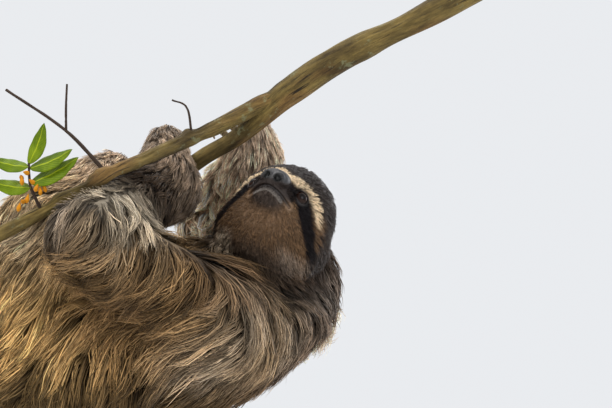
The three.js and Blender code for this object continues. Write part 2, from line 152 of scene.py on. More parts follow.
# ---------------------------------------------------------------- distances

def round_cone(points, start, end, start_radius, end_radius):
    """Signed distance to a bar with round ends whose radius runs evenly from one end to the other."""
    start, end = np.asarray(start, float), np.asarray(end, float)
    line = end - start
    square = line @ line
    drop = start_radius - end_radius
    slope = square - drop * drop
    offset = points - start
    along = offset @ line
    past = along - square
    across = ((offset * square - along[:, None] * line) ** 2).sum(1)
    near2, far2 = along * along * square, past * past * square
    limit = np.sign(drop) * drop * drop * across
    inverse = 1.0 / square
    distance = (np.sqrt(across * slope * inverse) + along * drop) * inverse - start_radius
    at_end = np.sign(past) * slope * far2 > limit
    at_start = ~at_end & (np.sign(along) * slope * near2 < limit)
    distance = np.where(at_end, np.sqrt(across + far2) * inverse - end_radius, distance)
    return np.where(at_start, np.sqrt(across + near2) * inverse - start_radius, distance)


def unit(vectors):
    return vectors / np.maximum(np.linalg.norm(vectors, axis=-1, keepdims=True), 1e-6)


def smooth_min(first, second, width):
    share = np.maximum(width - np.abs(first - second), 0) / width
    return np.minimum(first, second) - share * share * width * 0.25


def smooth_max(first, second, width):
    return -smooth_min(-first, -second, width)


def ellipsoid(local, centre, half):
    offset = local - np.asarray(centre, float)
    half = np.asarray(half, float)
    scaled = np.linalg.norm(offset / half, axis=1)
    slope = np.linalg.norm(offset / half**2, axis=1)
    return scaled * (scaled - 1) / np.maximum(slope, 1e-9)


def head_local(points):
    return (points - HEAD_CENTRE) @ HEAD_AXES.T


def from_head(local):
    return HEAD_CENTRE + np.asarray(local) @ HEAD_AXES


def head_blank(local):
    """The head without eyes, mouth or nostrils."""
    distance = None
    for centre, half, width in HEAD_LOBES:
        lobe = ellipsoid(local, centre, half)
        distance = lobe if distance is None else smooth_min(distance, lobe, width)
    return distance


def reach_in(direction):
    """The head's surface point in a direction from its centre, in the head frame."""
    direction = unit(np.asarray(direction, float))
    low, high = HEAD_SEARCH
    for _ in range(SEARCH_ROUNDS):
        middle = (low + high) / 2
        if head_blank((direction * middle)[None])[0] < 0:
            low = middle
        else:
            high = middle
    return direction * low


EYE_SURFACE = reach_in(EYE)
EYE_OUT = unit(EYE_SURFACE)
EYE_CENTRE = EYE_SURFACE - EYE_OUT * EYE_SINK


def mouth_line():
    """Points along the closed mouth, corner to corner, on the muzzle's surface."""
    line = []
    for share in np.linspace(-1, 1, 27):
        aim = (19.6 * share, 55 - 15.5 * share**2, 3.0 - 6.8 * abs(share) ** 1.8)
        line.append(reach_in(aim))
    return np.array(line)


MOUTH = mouth_line()
NOSTRIL = reach_in((4.7, 56.5, 10.4))


def near_band(local, band):
    """Distance to a bar along a polyline of points and radii."""
    best = np.full(len(local), FAR_OFF)
    for (start, start_radius), (end, end_radius) in zip(band[:-1], band[1:]):
        start, step = np.array(start, float), np.array(end, float) - np.array(start, float)
        share = np.clip((local - start) @ step / (step @ step), 0, 1)
        radius = start_radius + (end_radius - start_radius) * share
        best = np.minimum(best, np.linalg.norm(local - start - share[:, None] * step, axis=1) - radius)
    return best


def near_line(local, line, radius):
    """Distance to a bar of even radius along a polyline."""
    return near_band(local, [(point, radius) for point in line])


def head_distance(points, detail):
    local = head_local(points)
    distance = head_blank(local)
    if not detail:
        return distance
    near = np.flatnonzero((distance < 14) & (distance > -16) & (local[:, 1] > 2))
    if len(near) == 0:
        return distance
    spot = local[near].copy()
    value = distance[near]
    mouth = near_line(spot, MOUTH, 0.9)
    upper_lip = near_line(spot, MOUTH + np.array([0, -0.9, 2.8]), 2.2)
    lower_lip = near_line(spot, MOUTH[4:-4] + np.array([0, -0.6, -2.3]), 1.5)
    value = smooth_min(value, upper_lip, 3.0)
    value = smooth_min(value, lower_lip, 2.0)
    value = smooth_max(value, -mouth, 1.2)
    spot[:, 0] = np.abs(spot[:, 0])
    nostril = ellipsoid(spot, NOSTRIL + np.array([0.2, 0.2, 0]), (2.5, 5.0, 2.3))
    rim = ellipsoid(spot, NOSTRIL + np.array([0.8, -1.0, 1.0]), (4.0, 3.2, 3.6))
    value = smooth_min(value, rim, 3.0)
    value = smooth_max(value, -nostril, 0.9)
    # Eye: a shallow socket, a round lid over the ball, and an almond opening in the lid
    from_eye = spot - EYE_CENTRE
    socket = np.linalg.norm(spot - (EYE_SURFACE + EYE_OUT * 6.5), axis=1) - 11.5
    value = smooth_max(value, -socket, 5.0)
    lid = np.linalg.norm(from_eye, axis=1) - (EYE_RADIUS + 1.1)
    value = smooth_min(value, lid, 2.2)
    outward = from_eye @ EYE_OUT
    side_axis = unit(np.cross((0, 0, 1), EYE_OUT))
    up_axis = np.cross(EYE_OUT, side_axis)
    wide = from_eye @ side_axis / EYE_OPENING[0]
    high = (from_eye @ up_axis - 0.2) / EYE_OPENING[1]
    opening = (np.hypot(wide, high) - 1) * EYE_OPENING[1]
    opening = np.maximum(opening, 1.5 - outward)
    value = smooth_max(value, -opening, 0.7)
    distance[near] = value
    return distance


def part_distance(points, name):
    joints, depth = PARTS[name][0], PARTS[name][1]
    distance = None
    for first, second in zip(joints[:-1], joints[1:]):
        (start, start_radius), (end, end_radius) = JOINTS[first], JOINTS[second]
        bar = round_cone(points, start, end, start_radius - depth, end_radius - depth)
        distance = bar if distance is None else smooth_min(distance, bar, BEND_BLEND)
    return distance


def perch_distance(points):
    distance = np.full(len(points), FAR_OFF)
    for branch in (REAR_BRANCH, FRONT_BRANCH):
        for (start, start_radius), (end, end_radius) in zip(branch[:-1], branch[1:]):
            distance = np.minimum(distance, round_cone(points, start, end, start_radius, end_radius))
    return distance


def over_branch(points):
    """How far in from the front branch's edge the points in front of it lie, seen square on to the side."""
    flat = np.column_stack([points[:, 0], points @ SIDE_UP])
    depth = points @ SIDE_AWAY
    inside = np.full(len(points), -FAR_OFF)
    for (start, radius), (end, _) in zip(FRONT_BRANCH[:-2], FRONT_BRANCH[1:-1]):
        start, end = np.array(start, float), np.array(end, float)
        low = np.array([start[0], start @ SIDE_UP])
        step = np.array([end[0], end @ SIDE_UP]) - low
        share = np.clip((flat - low) @ step / (step @ step), 0, 1)
        reach = radius - np.linalg.norm(flat - low - share[:, None] * step, axis=1)
        back = (start + (end - start) * share[:, None]) @ SIDE_AWAY
        inside = np.maximum(inside, np.where(depth < back, reach, -FAR_OFF))
    return inside


def skin_distance(points, detail=False, parts=False):
    """Signed distance to the bare skin; with parts, also the distance to each part alone."""
    each = [part_distance(points, name) for name in PARTS]
    each.append(head_distance(points, detail))
    distance = each[0]
    for name, part in zip(PART_NAMES[1:], each[1:]):
        width = HEAD_BLEND if name == "head" else BODY_BLEND
        if name.startswith(("hand", "foot")):
            width = PAW_BLEND
        distance = smooth_min(distance, part, width)
    distance = smooth_max(distance, PERCH_ROOM - perch_distance(points), 2.0)
    return (distance, np.array(each)) if parts else distance


SLOPE_STEP = 0.3


def slope_of(points, distance, step=SLOPE_STEP, detail=False):
    """The way straight off the skin at the points."""
    slope = np.empty_like(points)
    for axis in range(3):
        moved = points.copy()
        moved[:, axis] += step
        slope[:, axis] = (skin_distance(moved, detail) - distance) / step
    return unit(slope)


# ---------------------------------------------------------------- skin mesh

SKIN_BOX = (np.array([-205.0, -185.0, 215.0]), np.array([225.0, 160.0, 555.0]))
SKIN_STEP = 3.6
SLAB = 12
# Balls about the face within which the skin is cut finer, once for each: centre in the head frame, radius
FINER = [((0, 26, 0), 46), ((0, 32, 0), 38), ((0, 36, 0), 33)][: 3]
SETTLE_ROUNDS, SETTLE_STEP, SETTLE_REACH = 4, 0.25, 1.5


def surface_nets(field, origin, step):
    """Quads over the zero level of a grid of distances."""
    inside = field < 0
    wide, deep, tall = (size - 1 for size in field.shape)
    corners = sum(
        inside[x : x + wide, y : y + deep, z : z + tall].astype(np.int8)
        for x in (0, 1)
        for y in (0, 1)
        for z in (0, 1)
    )
    mixed = (corners > 0) & (corners < 8)
    cells = np.argwhere(mixed)
    number = np.full(mixed.shape, -1)
    number[mixed] = np.arange(len(cells))
    total = np.zeros((len(cells), 3))
    count = np.zeros((len(cells), 1))
    for axis in range(3):
        ahead, first, second = np.roll(np.eye(3, dtype=int), -axis, axis=0)
        for a in (0, 1):
            for b in (0, 1):
                low = cells + a * first + b * second
                high = low + ahead
                low_value, high_value = field[tuple(low.T)], field[tuple(high.T)]
                crossing = ((low_value < 0) != (high_value < 0))[:, None]
                share = low_value / np.where(low_value == high_value, 1, low_value - high_value)
                total += np.where(crossing, low - cells + share[:, None] * ahead, 0)
                count += crossing
    points = (cells + total / np.maximum(count, 1)) * step + origin
    quads = []
    for axis in range(3):
        ahead, first, second = np.roll(np.eye(3, dtype=int), -axis, axis=0)
        low = inside[tuple(slice(0, -1) if i == axis else slice(1, -1) for i in range(3))]
        high = inside[tuple(slice(1, None) if i == axis else slice(1, -1) for i in range(3))]
        edges = np.argwhere(low != high) + (1 - ahead)
        starts_inside = inside[tuple(edges.T)]
        ring = [edges - first - second, edges - second, edges, edges - first]
        quad = np.stack([number[tuple(cell.T)] for cell in ring], 1)
        quads.append(np.where(starts_inside[:, None], quad, quad[:, ::-1]))
    return points, np.concatenate(quads)


def skin_grid(step):
    """Distances to the skin on a grid over the animal's box, in slabs, and the grid's first corner."""
    axes = [np.arange(low, high, step) for low, high in zip(*SKIN_BOX)]
    shape = tuple(len(axis) for axis in axes)
    field = np.empty(shape, np.float32)
    yz = np.stack(np.meshgrid(axes[1], axes[2], indexing="ij"), -1).reshape(-1, 2)
    for start in range(0, shape[0], SLAB):
        xs = axes[0][start : start + SLAB]
        block = np.concatenate([np.column_stack([np.full(len(yz), x), yz]) for x in xs])
        field[start : start + SLAB] = skin_distance(block).reshape(len(xs), shape[1], shape[2])
    return field, SKIN_BOX[0]


def read(items, key, width, kind=float):
    """A property of every item, one row each."""
    values = np.empty(len(items) * width, kind)
    items.foreach_get(key, values)
    return values.reshape(-1, width)


def smooth_faces(mesh):
    mesh.polygons.foreach_set("use_smooth", [True] * len(mesh.polygons))


def mark_points(piece, name, kind, key, values):
    """Adds a named value at every point."""
    mark = piece.data.attributes.new(name, kind, "POINT")
    mark.data.foreach_set(key, np.asarray(values, np.float32).ravel())


def add_mesh(name, points, faces):
    mesh = bpy.data.meshes.new(name)
    mesh.from_pydata((np.asarray(points) * MM).tolist(), [], [list(face) for face in faces])
    mesh.validate()
    smooth_faces(mesh)
    piece = bpy.data.objects.new(name, mesh)
    bpy.context.scene.collection.objects.link(piece)
    return piece


def build_skin():
    """The whole animal as one surface, finer on the face, settled on the detailed form."""
    field, origin = skin_grid(SKIN_STEP)
    points, quads = surface_nets(field, origin, SKIN_STEP)
    piece = add_mesh("skin", points, quads)
    work = bmesh.new()
    work.from_mesh(piece.data)
    for centre, radius in FINER:
        centre = Vector(from_head(centre) * MM)
        chosen = {
            edge
            for face in work.faces
            if (face.calc_center_median() - centre).length < radius * MM
            for edge in face.edges
        }
        bmesh.ops.subdivide_edges(work, edges=list(chosen), cuts=1, use_grid_fill=True)
    bmesh.ops.triangulate(work, faces=work.faces[:])
    work.to_mesh(piece.data)
    work.free()
    places = read(piece.data.vertices, "co", 3) / MM
    for _ in range(SETTLE_ROUNDS):
        distance = skin_distance(places, detail=True)
        shift = np.clip(distance, -SETTLE_REACH, SETTLE_REACH)[:, None]
        places -= slope_of(places, distance, SETTLE_STEP, detail=True) * shift
    piece.data.vertices.foreach_set("co", (places * MM).ravel())
    smooth_faces(piece.data)
    piece.data.update()
    return piece, places


# ---------------------------------------------------------------- colour of skin and coat

def srgb(red, green, blue):
    value = np.array([red, green, blue], float) / 255
    return np.where(value <= 0.04045, value / 12.92, ((value + 0.055) / 1.055) ** 2.4)


GOLD = srgb(184, 150, 98)
BROWN = srgb(114, 86, 58)
UMBER = srgb(80, 58, 42)
ROSE = srgb(230, 200, 170)
PALE = srgb(214, 201, 178)
WHITE = srgb(222, 207, 182)
STONE = srgb(164, 149, 130)
GREY = srgb(140, 132, 124)
SMOKE = srgb(104, 92, 84)
CREAM = srgb(226, 202, 168)
MASK = srgb(16, 11, 14)
THROAT = srgb(104, 80, 58)
CHEEK = srgb(152, 134, 118)
TAN = srgb(112, 88, 64)
CROWN = srgb(58, 51, 48)
CHIN = srgb(62, 52, 46)
LIP_HIGHLIGHT = srgb(126, 120, 114)
# Dark skin of the muzzle, darkened further as painted shade above the mouth
MUZZLE_AND_SHADE = srgb(38, 30, 27)
NOSE_SKIN = srgb(46, 45, 47)
EYELID = srgb(24, 18, 18)
PUPIL = srgb(9, 6, 5)
IRIS = srgb(30, 16, 10)
HORN_ROOT = srgb(92, 76, 58)
HORN = srgb(196, 180, 146)
HORN_TIP = srgb(120, 98, 70)

PART_COLOURS = {
    "trunk": GOLD * 0.35 + BROWN * 0.65,
    "neck": SMOKE * 0.6 + BROWN * 0.4,
    "tail": GOLD * 0.5 + BROWN * 0.5,
    "upper_arm_L": GOLD * 0.4 + BROWN * 0.6,
    "forearm_L": UMBER * 0.32,
    "hand_L": ROSE * 0.4,
    # The far arm's pale coat, brightened past its own colour as painted light where the branch and head shade
    # it
    "upper_arm_R": ROSE * 1.25,
    "forearm_R": ROSE * 1.3 + GREY * 0.2,
    "hand_R": GREY * 0.4 + ROSE * 0.6,
    "thigh_L": GOLD,
    "shank_L": GOLD * 0.75 + GREY * 0.6,
    "foot_L": ROSE * 0.7,
    "thigh_R": GOLD,
    "shank_R": GOLD * 0.6 + GREY * 0.4,
    "foot_R": ROSE * 0.7,
    "head": SMOKE,
}

# Places where the coat differs: centre, reach, colour, strength; the two smoky ones under the head are
# painted shade in the crease of the neck
COAT_PATCHES = [
    ((35, -150, 412), 28, WHITE, 0.75),
    ((62, -128, 402), 26, WHITE, 0.45),
    ((-8, -160, 398), 18, GREY, 0.6),
    ((-40, -120, 405), 24, WHITE, 0.5),
    ((60, -118, 352), 36, UMBER * 0.75, 0.75),
    ((20, -78, 348), 34, UMBER, 0.55),
    ((116, -110, 370), 32, UMBER * 0.6, 0.8),
    ((140, -90, 368), 34, UMBER * 0.8, 0.75),
    # Painted shade in the crease under the head
    ((165, -50, 388), 30, SMOKE * 0.12, 0.92),
    ((138, -92, 336), 26, STONE, 0.7),
    ((115, -70, 304), 34, STONE * 1.3, 0.7),
    ((165, -45, 332), 28, STONE, 0.65),
    ((-20, -45, 292), 48, GOLD * 1.7, 0.75),
    # Painted shade in the crease under the chin
    ((190, -30, 390), 22, SMOKE * 0.3, 0.8),
    ((-50, -80, 345), 46, GOLD, 0.7),
    ((205, -20, 372), 22, GREY * 0.8, 0.5),
    ((-70, 120, 330), 36, PALE, 0.5),
    ((-20, 105, 290), 30, PALE, 0.35),
    ((60, 95, 330), 40, UMBER, 0.35),
    ((10, 60, 250), 60, UMBER, 0.25),
]


def ramp(value, low, high):
    share = np.clip((value - low) / (high - low), 0, 1)
    return share * share * (3 - 2 * share)


def mixed(base, colour, weight):
    return base + (np.asarray(colour) - base) * np.asarray(weight)[:, None]


# Markings in the head frame, mirrored: centre line points with half widths
PALE_BAND = [
    ((0, 45, 25), 3.5), ((9, 49.5, 17.5), 6.0), ((15.8, 42, 19), 5.8), ((20, 35, 21.5), 4.6),
    ((25.5, 29.5, 20), 4.2), ((30.6, 26, 16.3), 4.2), ((34.8, 22.7, 11.8), 4.2), ((37.8, 20, 5.5), 3.8),
    ((40, 17, -2), 1.6),
]
DARK_STRIPE = [
    ((15.5, 43.5, 10.5), 2.5), ((23.2, 36, 10.2), 6.4), ((28, 31.5, 5), 6.4), ((32, 28.5, -2.5), 7.0),
    ((35.6, 25.0, -9.4), 6.2), ((39.4, 20.5, -17), 5.0), ((43, 13.5, -25), 4.4), ((43, -4, -31), 3.6),
    ((37, -20, -33), 3.0),
]
# The muzzle band is its own dark skin, with painted shade above the mouth
MUZZLE_BAND = [((0, 47, 8), 12.5), ((11, 42, 6), 10.0)]
PALE_CHEEK = np.array([31, 10, -40])
UNDER_EYE = np.array([23, 37, -3])
NOSE_PAD = (0, 51, 15)


def face_colour(points):
    """Markings of the head, laid out in its own frame, with painted shade under the head, above and along the
    mouth and in the nostrils, and a painted highlight on the lower lip.
    """
    local = head_local(points)
    side, ahead, crown = np.abs(local[:, 0]), local[:, 1], local[:, 2]
    folded = np.column_stack([side, ahead, crown])
    colour = np.tile(CROWN, (len(points), 1))
    behind = ramp(side, 38, 44) * ramp(-ahead, -14, -6)
    colour = mixed(colour, THROAT, ramp(-crown, -12, 0) * ramp(ahead, -30, -12) * (1 - behind))
    colour = mixed(colour, CHEEK, ramp(side, 16, 28) * ramp(-crown, 30, 40) * ramp(ahead, -12, 4) * 0.8)
    # Painted shade: darker on the underside of the head
    colour = mixed(colour, SMOKE * 0.5, ramp(-crown, 34, 48) * 0.8)
    colour = mixed(colour, STONE, ramp(-np.linalg.norm(local - PALE_CHEEK, axis=1), -17, -5) * 0.9)
    colour = mixed(colour, TAN, ramp(-np.linalg.norm(folded - UNDER_EYE, axis=1), -11, -4) * 0.4)
    chin = ramp(-crown, -4, 1) * ramp(crown, -19, -9) * ramp(ahead, 36, 45) * ramp(-side, -20, -12)
    colour = mixed(colour, CHIN, chin)
    colour = mixed(colour, CREAM, ramp(-near_band(folded, PALE_BAND), -2.6, 1.2))
    muzzle = near_band(folded, MUZZLE_BAND)
    # The muzzle's dark skin, with painted shade above the mouth
    colour = mixed(colour, MUZZLE_AND_SHADE, ramp(-muzzle, -2.5, 1.0) * ramp(crown, -4, 2))
    colour = mixed(colour, MASK, ramp(-near_band(folded, DARK_STRIPE), -2.2, 1.2))
    nose = ellipsoid(folded, NOSE_PAD, (14.5, 10, 7.5))
    colour = mixed(colour, NOSE_SKIN, ramp(-nose, -2.0, 1.0))
    # Painted highlight along the lower lip
    lip = near_line(local, MOUTH[4:-4] + np.array([0, 0, -3.0]), 1.3)
    colour = mixed(colour, LIP_HIGHLIGHT, ramp(-lip, -1.2, 0.2) * 0.8)
    # Painted shade in the crease of the closed mouth
    colour = mixed(colour, MASK, ramp(-near_line(local, MOUTH, 0.7), -0.9, 0.3))
    # Painted shade: the nostrils' pits near black
    nostril = ellipsoid(folded, NOSTRIL + np.array([0.2, 0.2, 0]), (3.6, 14.0, 3.4))
    colour = mixed(colour, MASK * 0.04, ramp(-nostril, -0.8, 0.1))
    lid = np.linalg.norm(folded - EYE_SURFACE, axis=1)
    colour = mixed(colour, EYELID, ramp(-lid, -9.0, -6.5))
    return colour


JOINT_EASE = 6.0
CREASE_REACH = (8, 34)


def part_weights(each):
    """Share of each part at each point, eased across the joints."""
    weight = np.exp(-(each - each.min(0)) / JOINT_EASE)
    return weight / weight.sum(0)


def by_head(points):
    """1 in the crease between the head and the near shoulder, 0 away from it."""
    return (1 - ramp(head_distance(points, False), *CREASE_REACH)) * ramp(-points[:, 0], -200, -176)


def coat_colour(points, weights):
    """Colour of the skin or coat at the points: parts, patches (two of them painted shade), painted shade
    under the fringe and in the crease by the head, slow drift.
    """
    colour = np.zeros((len(points), 3))
    for name, weight in zip(PART_NAMES, weights):
        base = face_colour(points) if name == "head" else PART_COLOURS[name][None]
        colour += base * weight[:, None]
    off_head = 1 - weights[-1]
    for centre, reach, patch, strength in COAT_PATCHES:
        distance = np.linalg.norm(points - np.array(centre, float), axis=1)
        colour = mixed(colour, patch, strength * np.exp(-((distance / reach) ** 2)) * off_head)
    trunk = weights[PART_NAMES.index("trunk")]
    drop = fringe_drop(points)
    # Painted shade: darker in a band below the fringe of long side hair
    shade = ramp(drop, -2, 6) * (1 - ramp(drop, 16, 42)) * trunk
    # Painted shade in the crease between the head and the near shoulder
    crease_shade = by_head(points) * off_head
    drift = wander(points, *DRIFT_NOISE)[:, 0] * off_head
    tone = (1 - 0.7 * shade) * (1 - 0.88 * crease_shade) * np.exp(0.24 * drift)
    return colour * tone[:, None]


# ---------------------------------------------------------------- lie of the coat

def lie_of(name):
    """Direction a part's hair lies in, root to tip, before gravity is added."""
    if name == "trunk":
        return np.array([-0.45, 0.0, -1.0])
    if name == "tail":
        return np.array([-1.0, 0.0, -0.3])
    joints = PARTS[name][0]
    start, end = np.array(JOINTS[joints[0]][0], float), np.array(JOINTS[joints[-1]][0], float)
    return unit(end - start if name == "neck" else start - end)


# Where the hair turns on the animal's left side, in the side view's plane:
# place across and up that plane, then the lie across and up it
LIE_MARKS = [
    (-48, 408, -1, -0.45), (-47, 372, -0.8, -0.75), (-47, 333, -0.8, -0.75), (-44, 301, -1, -0.45),
    (-25, 394, -0.45, -0.95), (-17, 416, -0.75, -0.65), (1, 423, -0.85, -0.5), (-9, 376, -0.6, -0.8),
    (11, 397, -0.8, -0.6), (16, 427, -0.3, -1), (32, 423, -0.4, -0.95), (45, 432, -0.05, -1),
    (32, 404, -0.65, -0.75), (51, 416, -0.45, -0.9), (68, 416, -0.3, -1), (74, 397, -0.4, -0.9),
    (-21, 352, -0.4, -0.95), (-5, 342, -0.05, -1), (11, 337, -0.4, -0.9), (23, 360, -0.6, -0.8),
    (27, 382, -0.8, -0.55), (46, 374, -0.9, -0.5), (70, 374, -1, -0.15), (70, 358, -0.9, -0.35),
    (94, 376, -1, -0.1), (117, 374, -1, 0.0), (105, 360, -0.95, -0.35), (98, 345, -0.8, -0.5),
    (34, 345, -0.6, -0.8), (37, 323, 0, -1), (42, 305, -0.1, -1), (11, 308, -0.15, -1),
    (-13, 315, -0.5, -0.85), (-33, 329, -0.6, -0.8), (66, 326, -0.6, -0.8), (74, 305, -0.8, -0.6),
    (98, 326, -0.85, -0.45), (121, 341, -1, -0.1), (125, 323, -0.85, -0.45), (145, 336, -0.95, -0.3),
    (165, 338, -0.6, -0.75), (172, 331, -0.3, -0.95), (157, 319, -0.75, -0.6), (142, 374, 0.65, -0.75),
    (150, 360, 0.75, -0.65), (167, 362, 0.9, -0.4), (187, 355, 0.95, -0.3), (180, 375, 0.95, -0.25),
    (200, 368, 0.9, -0.4), (212, 392, -0.1, -1), (127, 390, 0.65, -0.75), (111, 404, 0.65, -0.75),
    (94, 416, 0.2, -0.95), (105, 390, -0.75, -0.6), (82, 412, -0.8, -0.5), (86, 288, -0.95, -0.25),
    (113, 295, -0.45, -0.9), (141, 297, -0.7, -0.7), (166, 308, -0.7, -0.7), (182, 329, -0.4, -0.95),
    (124, 363, -0.95, -0.2), (135, 355, -0.8, -0.55), (146, 346, -0.75, -0.6), (131, 380, 0.3, -0.95),
    (158, 350, 0.6, -0.75), (128, 372, -0.5, -0.8), (150, 372, 0.85, -0.5), (-10, 446, -0.4, -0.9),
    (5, 458, -0.6, -0.8), (22, 467, -0.7, -0.7), (40, 474, -0.75, -0.65), (58, 478, -0.7, -0.7),
]
LIE_REACH = 13.0
LIE_FLOOR = 0.08
FACE_WHORL = (0, 60, 10)
SAG = np.array([0, 0, -0.55])
FAR_PARTS = ("upper_arm_R", "forearm_R", "hand_R", "thigh_R", "shank_R", "foot_R", "hand_L", "foot_L")
# Lowest place of the fringe, how it climbs to each side of it, and how deep its band is
FRINGE_LOW = (35.0, 296.0)
FRINGE_CLIMB = (0.0027, 0.0009)
FRINGE_BAND = np.array([0, 0, -26.0])
# Smooth noises: wavelength and seed
DRIFT_NOISE, BROAD_NOISE, FINE_NOISE = (34.0, 21), (46.0, 11), (17.0, 12)


def fringe_drop(points):
    """Depth below the line where the long side hair is rooted last."""
    off = points[:, 0] - FRINGE_LOW[0]
    return FRINGE_LOW[1] + np.where(off > 0, *FRINGE_CLIMB) * off**2 - points[:, 2]


def under_fringe(points):
    """1 on the smooth underside below the long side hair's fringe, 0 above it."""
    return ramp(fringe_drop(points), -3, 5)


def over_fringe(points):
    """1 in the band of hair just over the fringe, which stands out over the underside."""
    return under_fringe(points + FRINGE_BAND) * (1 - under_fringe(points))


WANDER_WAVES, WANDER_SIZE = 5, 2.2


def wander(points, scale, seed):
    """A smooth vector noise of about unit size and the given wavelength."""
    rng = np.random.default_rng(seed)
    total = np.zeros_like(points)
    for _ in range(WANDER_WAVES):
        wave = unit(rng.normal(size=(3, 3)))
        phase = rng.uniform(0, 2 * math.pi, 3)
        total += np.sin(points @ wave.T * (2 * math.pi / scale) * rng.uniform(0.7, 1.4) + phase)
    return total / WANDER_SIZE


def lie_field(points, weights, normals):
    """The way the coat lies at the points, along the skin."""
    flow = np.zeros_like(points)
    for name, weight in zip(PART_NAMES, weights):
        if name == "head":
            flow += unit(points - from_head(FACE_WHORL)) * weight[:, None]
        else:
            flow += lie_of(name) * weight[:, None]
    off_head = (1 - weights[-1])[:, None]
    flow += SAG * off_head
    rise = points @ SIDE_UP
    total = np.full(len(points), LIE_FLOOR)
    marked = flow * LIE_FLOOR
    for across, up, right, climb in LIE_MARKS:
        near = np.exp(-((points[:, 0] - across) ** 2 + (rise - up) ** 2) / (2 * LIE_REACH**2))
        marked += near[:, None] * (np.array([right, 0, 0]) + SIDE_UP * climb)
        total += near
    marked /= total[:, None]
    far_part = weights[[PART_NAMES.index(name) for name in FAR_PARTS]].sum(0)
    use = (ramp(total, 0.15, 0.5) * ramp(-points[:, 1], -25, 0) * (1 - far_part))[:, None] * off_head
    flow = flow * (1 - use) + marked * use * 1.2
    return unit(flow - normals * (flow * normals).sum(1, keepdims=True))


def follow(roots, lengths, heights, curls, turns, steps):
    """Paths that leave the skin at the roots, run along the lie of the coat and, when long, hang clear."""
    path = [roots.copy()]
    place = roots.copy()
    heading = None
    keep = np.clip((lengths - 25) / 70, 0, 0.55)[:, None]
    hold = np.clip(1.25 - lengths / 60, 0.25, 1.0)
    for step in range(1, steps + 1):
        share = step / steps
        distance, each = skin_distance(place, parts=True)
        normal = slope_of(place, distance)
        flow = lie_field(place, part_weights(each), normal)
        flow = flow + wander(place, *BROAD_NOISE) * 0.25 * curls[:, None]
        flow = flow + wander(place, *FINE_NOISE) * 0.22 * curls[:, None]
        flow = unit(flow - normal * (flow * normal).sum(1, keepdims=True))
        turn = (turns[:, 0] + turns[:, 1] * share)[:, None]
        flow = flow * np.cos(turn) + np.cross(normal, flow) * np.sin(turn)
        if heading is not None:
            flow = unit(flow * (1 - keep) + heading * keep)
        moved = place + flow * (lengths / steps)[:, None]
        distance = skin_distance(moved)
        gap = heights * (1 - (1 - share) ** 2) - distance
        moved = moved + slope_of(moved, distance) * (gap * np.where(gap > 0, 1.0, hold))[:, None]
        heading = unit(moved - place)
        place = moved
        path.append(place.copy())
    return np.stack(path, 1)


# ---------------------------------------------------------------- tufts

# Shares of the height and length that a clump's guide and a tuft of its own take, lowest and highest
GUIDE_RISE, OWN_RISE = (0.35, 0.85), (0.1, 0.6)
GUIDE_STRETCH, OWN_STRETCH = (0.8, 1.15), (0.75, 1.1)
CLUMP_PULL = (0.35, 0.85)
WAVE_RATE = (2.5, 6.5)
LOOSE_SHARE, LOOSE_STRAY = 0.04, 2.6
ROOT_DEPTH = (-0.5, -0.3)
WIDTHS = (0.65, 1.25)


def face_hair(points):
    """Length, width, density and height of the hair on the head."""
    local = head_local(points)
    side, ahead, crown = np.abs(local[:, 0]), local[:, 1], local[:, 2]
    folded = np.column_stack([side, ahead, crown])
    front = ramp(ahead, 0, 42)
    length = 14 - 10 * front
    width = 0.95 - 0.42 * front
    density = 0.60 + 1.00 * front
    height = 4.2 - 3.0 * ramp(ahead, 2, 40)
    nose = ellipsoid(folded, NOSE_PAD, (15.0, 10.5, 8.0))
    lid = np.linalg.norm(folded - EYE_SURFACE, axis=1)
    mouth = near_line(local, MOUTH, 0)
    bare = ramp(-nose, -1.5, 0.5) + ramp(-lid, -8.2, -7.2) + ramp(-mouth, -3.4, -2.2)
    density = density * np.clip(1 - bare, 0, 1)
    near_eye = ramp(-lid, -16, -8)
    length = length * (1 - 0.5 * near_eye)
    return length, width, density, height


def grow_roots(piece, rng):
    """Roots spread over the skin's faces, with what each one's hair is like."""
    mesh = piece.data
    mesh.calc_loop_triangles()
    count = len(mesh.loop_triangles)
    places = read(mesh.vertices, "co", 3) / MM
    triangles = places[read(mesh.loop_triangles, "vertices", 3, np.int32)]
    flat = read(mesh.uv_layers["Skin"].data, "uv", 2)
    patches = flat[read(mesh.loop_triangles, "loops", 3, np.int32)]
    sides = triangles[:, 1:] - triangles[:, :1]
    area = np.linalg.norm(np.cross(sides[:, 0], sides[:, 1]), axis=1) / 2
    centres = triangles.mean(1)
    _, each = skin_distance(centres, parts=True)
    weights = part_weights(each)
    facts = np.array([PARTS[name][1:] for name in PARTS], float)
    loft, length, width, density, clump, curl = (weights[:-1].T @ facts[:, 1:]).T
    face_length, face_width, face_density, face_height = face_hair(centres)
    head = weights[-1]
    length = length + face_length * head
    width = width + face_width * head
    density = density + face_density * head
    under = under_fringe(centres) * weights[PART_NAMES.index("trunk")]
    over = over_fringe(centres) * (1 - head)
    length = length * (1 - 0.42 * under)
    width = width * (1 - 0.2 * under)
    loft = loft * (1 - 0.55 * under + 0.45 * over)
    curl = curl * (1 - 0.5 * under)
    height = loft + face_height * head
    crease = by_head(centres) * (1 - head)
    length = length * (1 - 0.35 * crease)
    height = height * (1 - 0.5 * crease)
    clump = clump + 5.0 * head
    curl = curl + 0.25 * head
    density = density * ramp(perch_distance(centres), 1.5, 3.0) * ramp(-over_branch(centres), -1, 1)
    number = density * area * 1.0 * HAIR_SHARE
    number = np.floor(number + rng.random(count)).astype(int)
    chosen = np.repeat(np.arange(count), number)
    share = rng.random((len(chosen), 2))
    share = np.where(share.sum(1, keepdims=True) > 1, 1 - share, share)
    bary = np.column_stack([1 - share.sum(1), share])[:, :, None]
    roots = (triangles[chosen] * bary).sum(1)
    patch = (patches[chosen] * bary).sum(1)
    facts = np.column_stack([length, width, height, clump, curl, head])[chosen]
    return roots, patch, facts, weights[:, chosen]


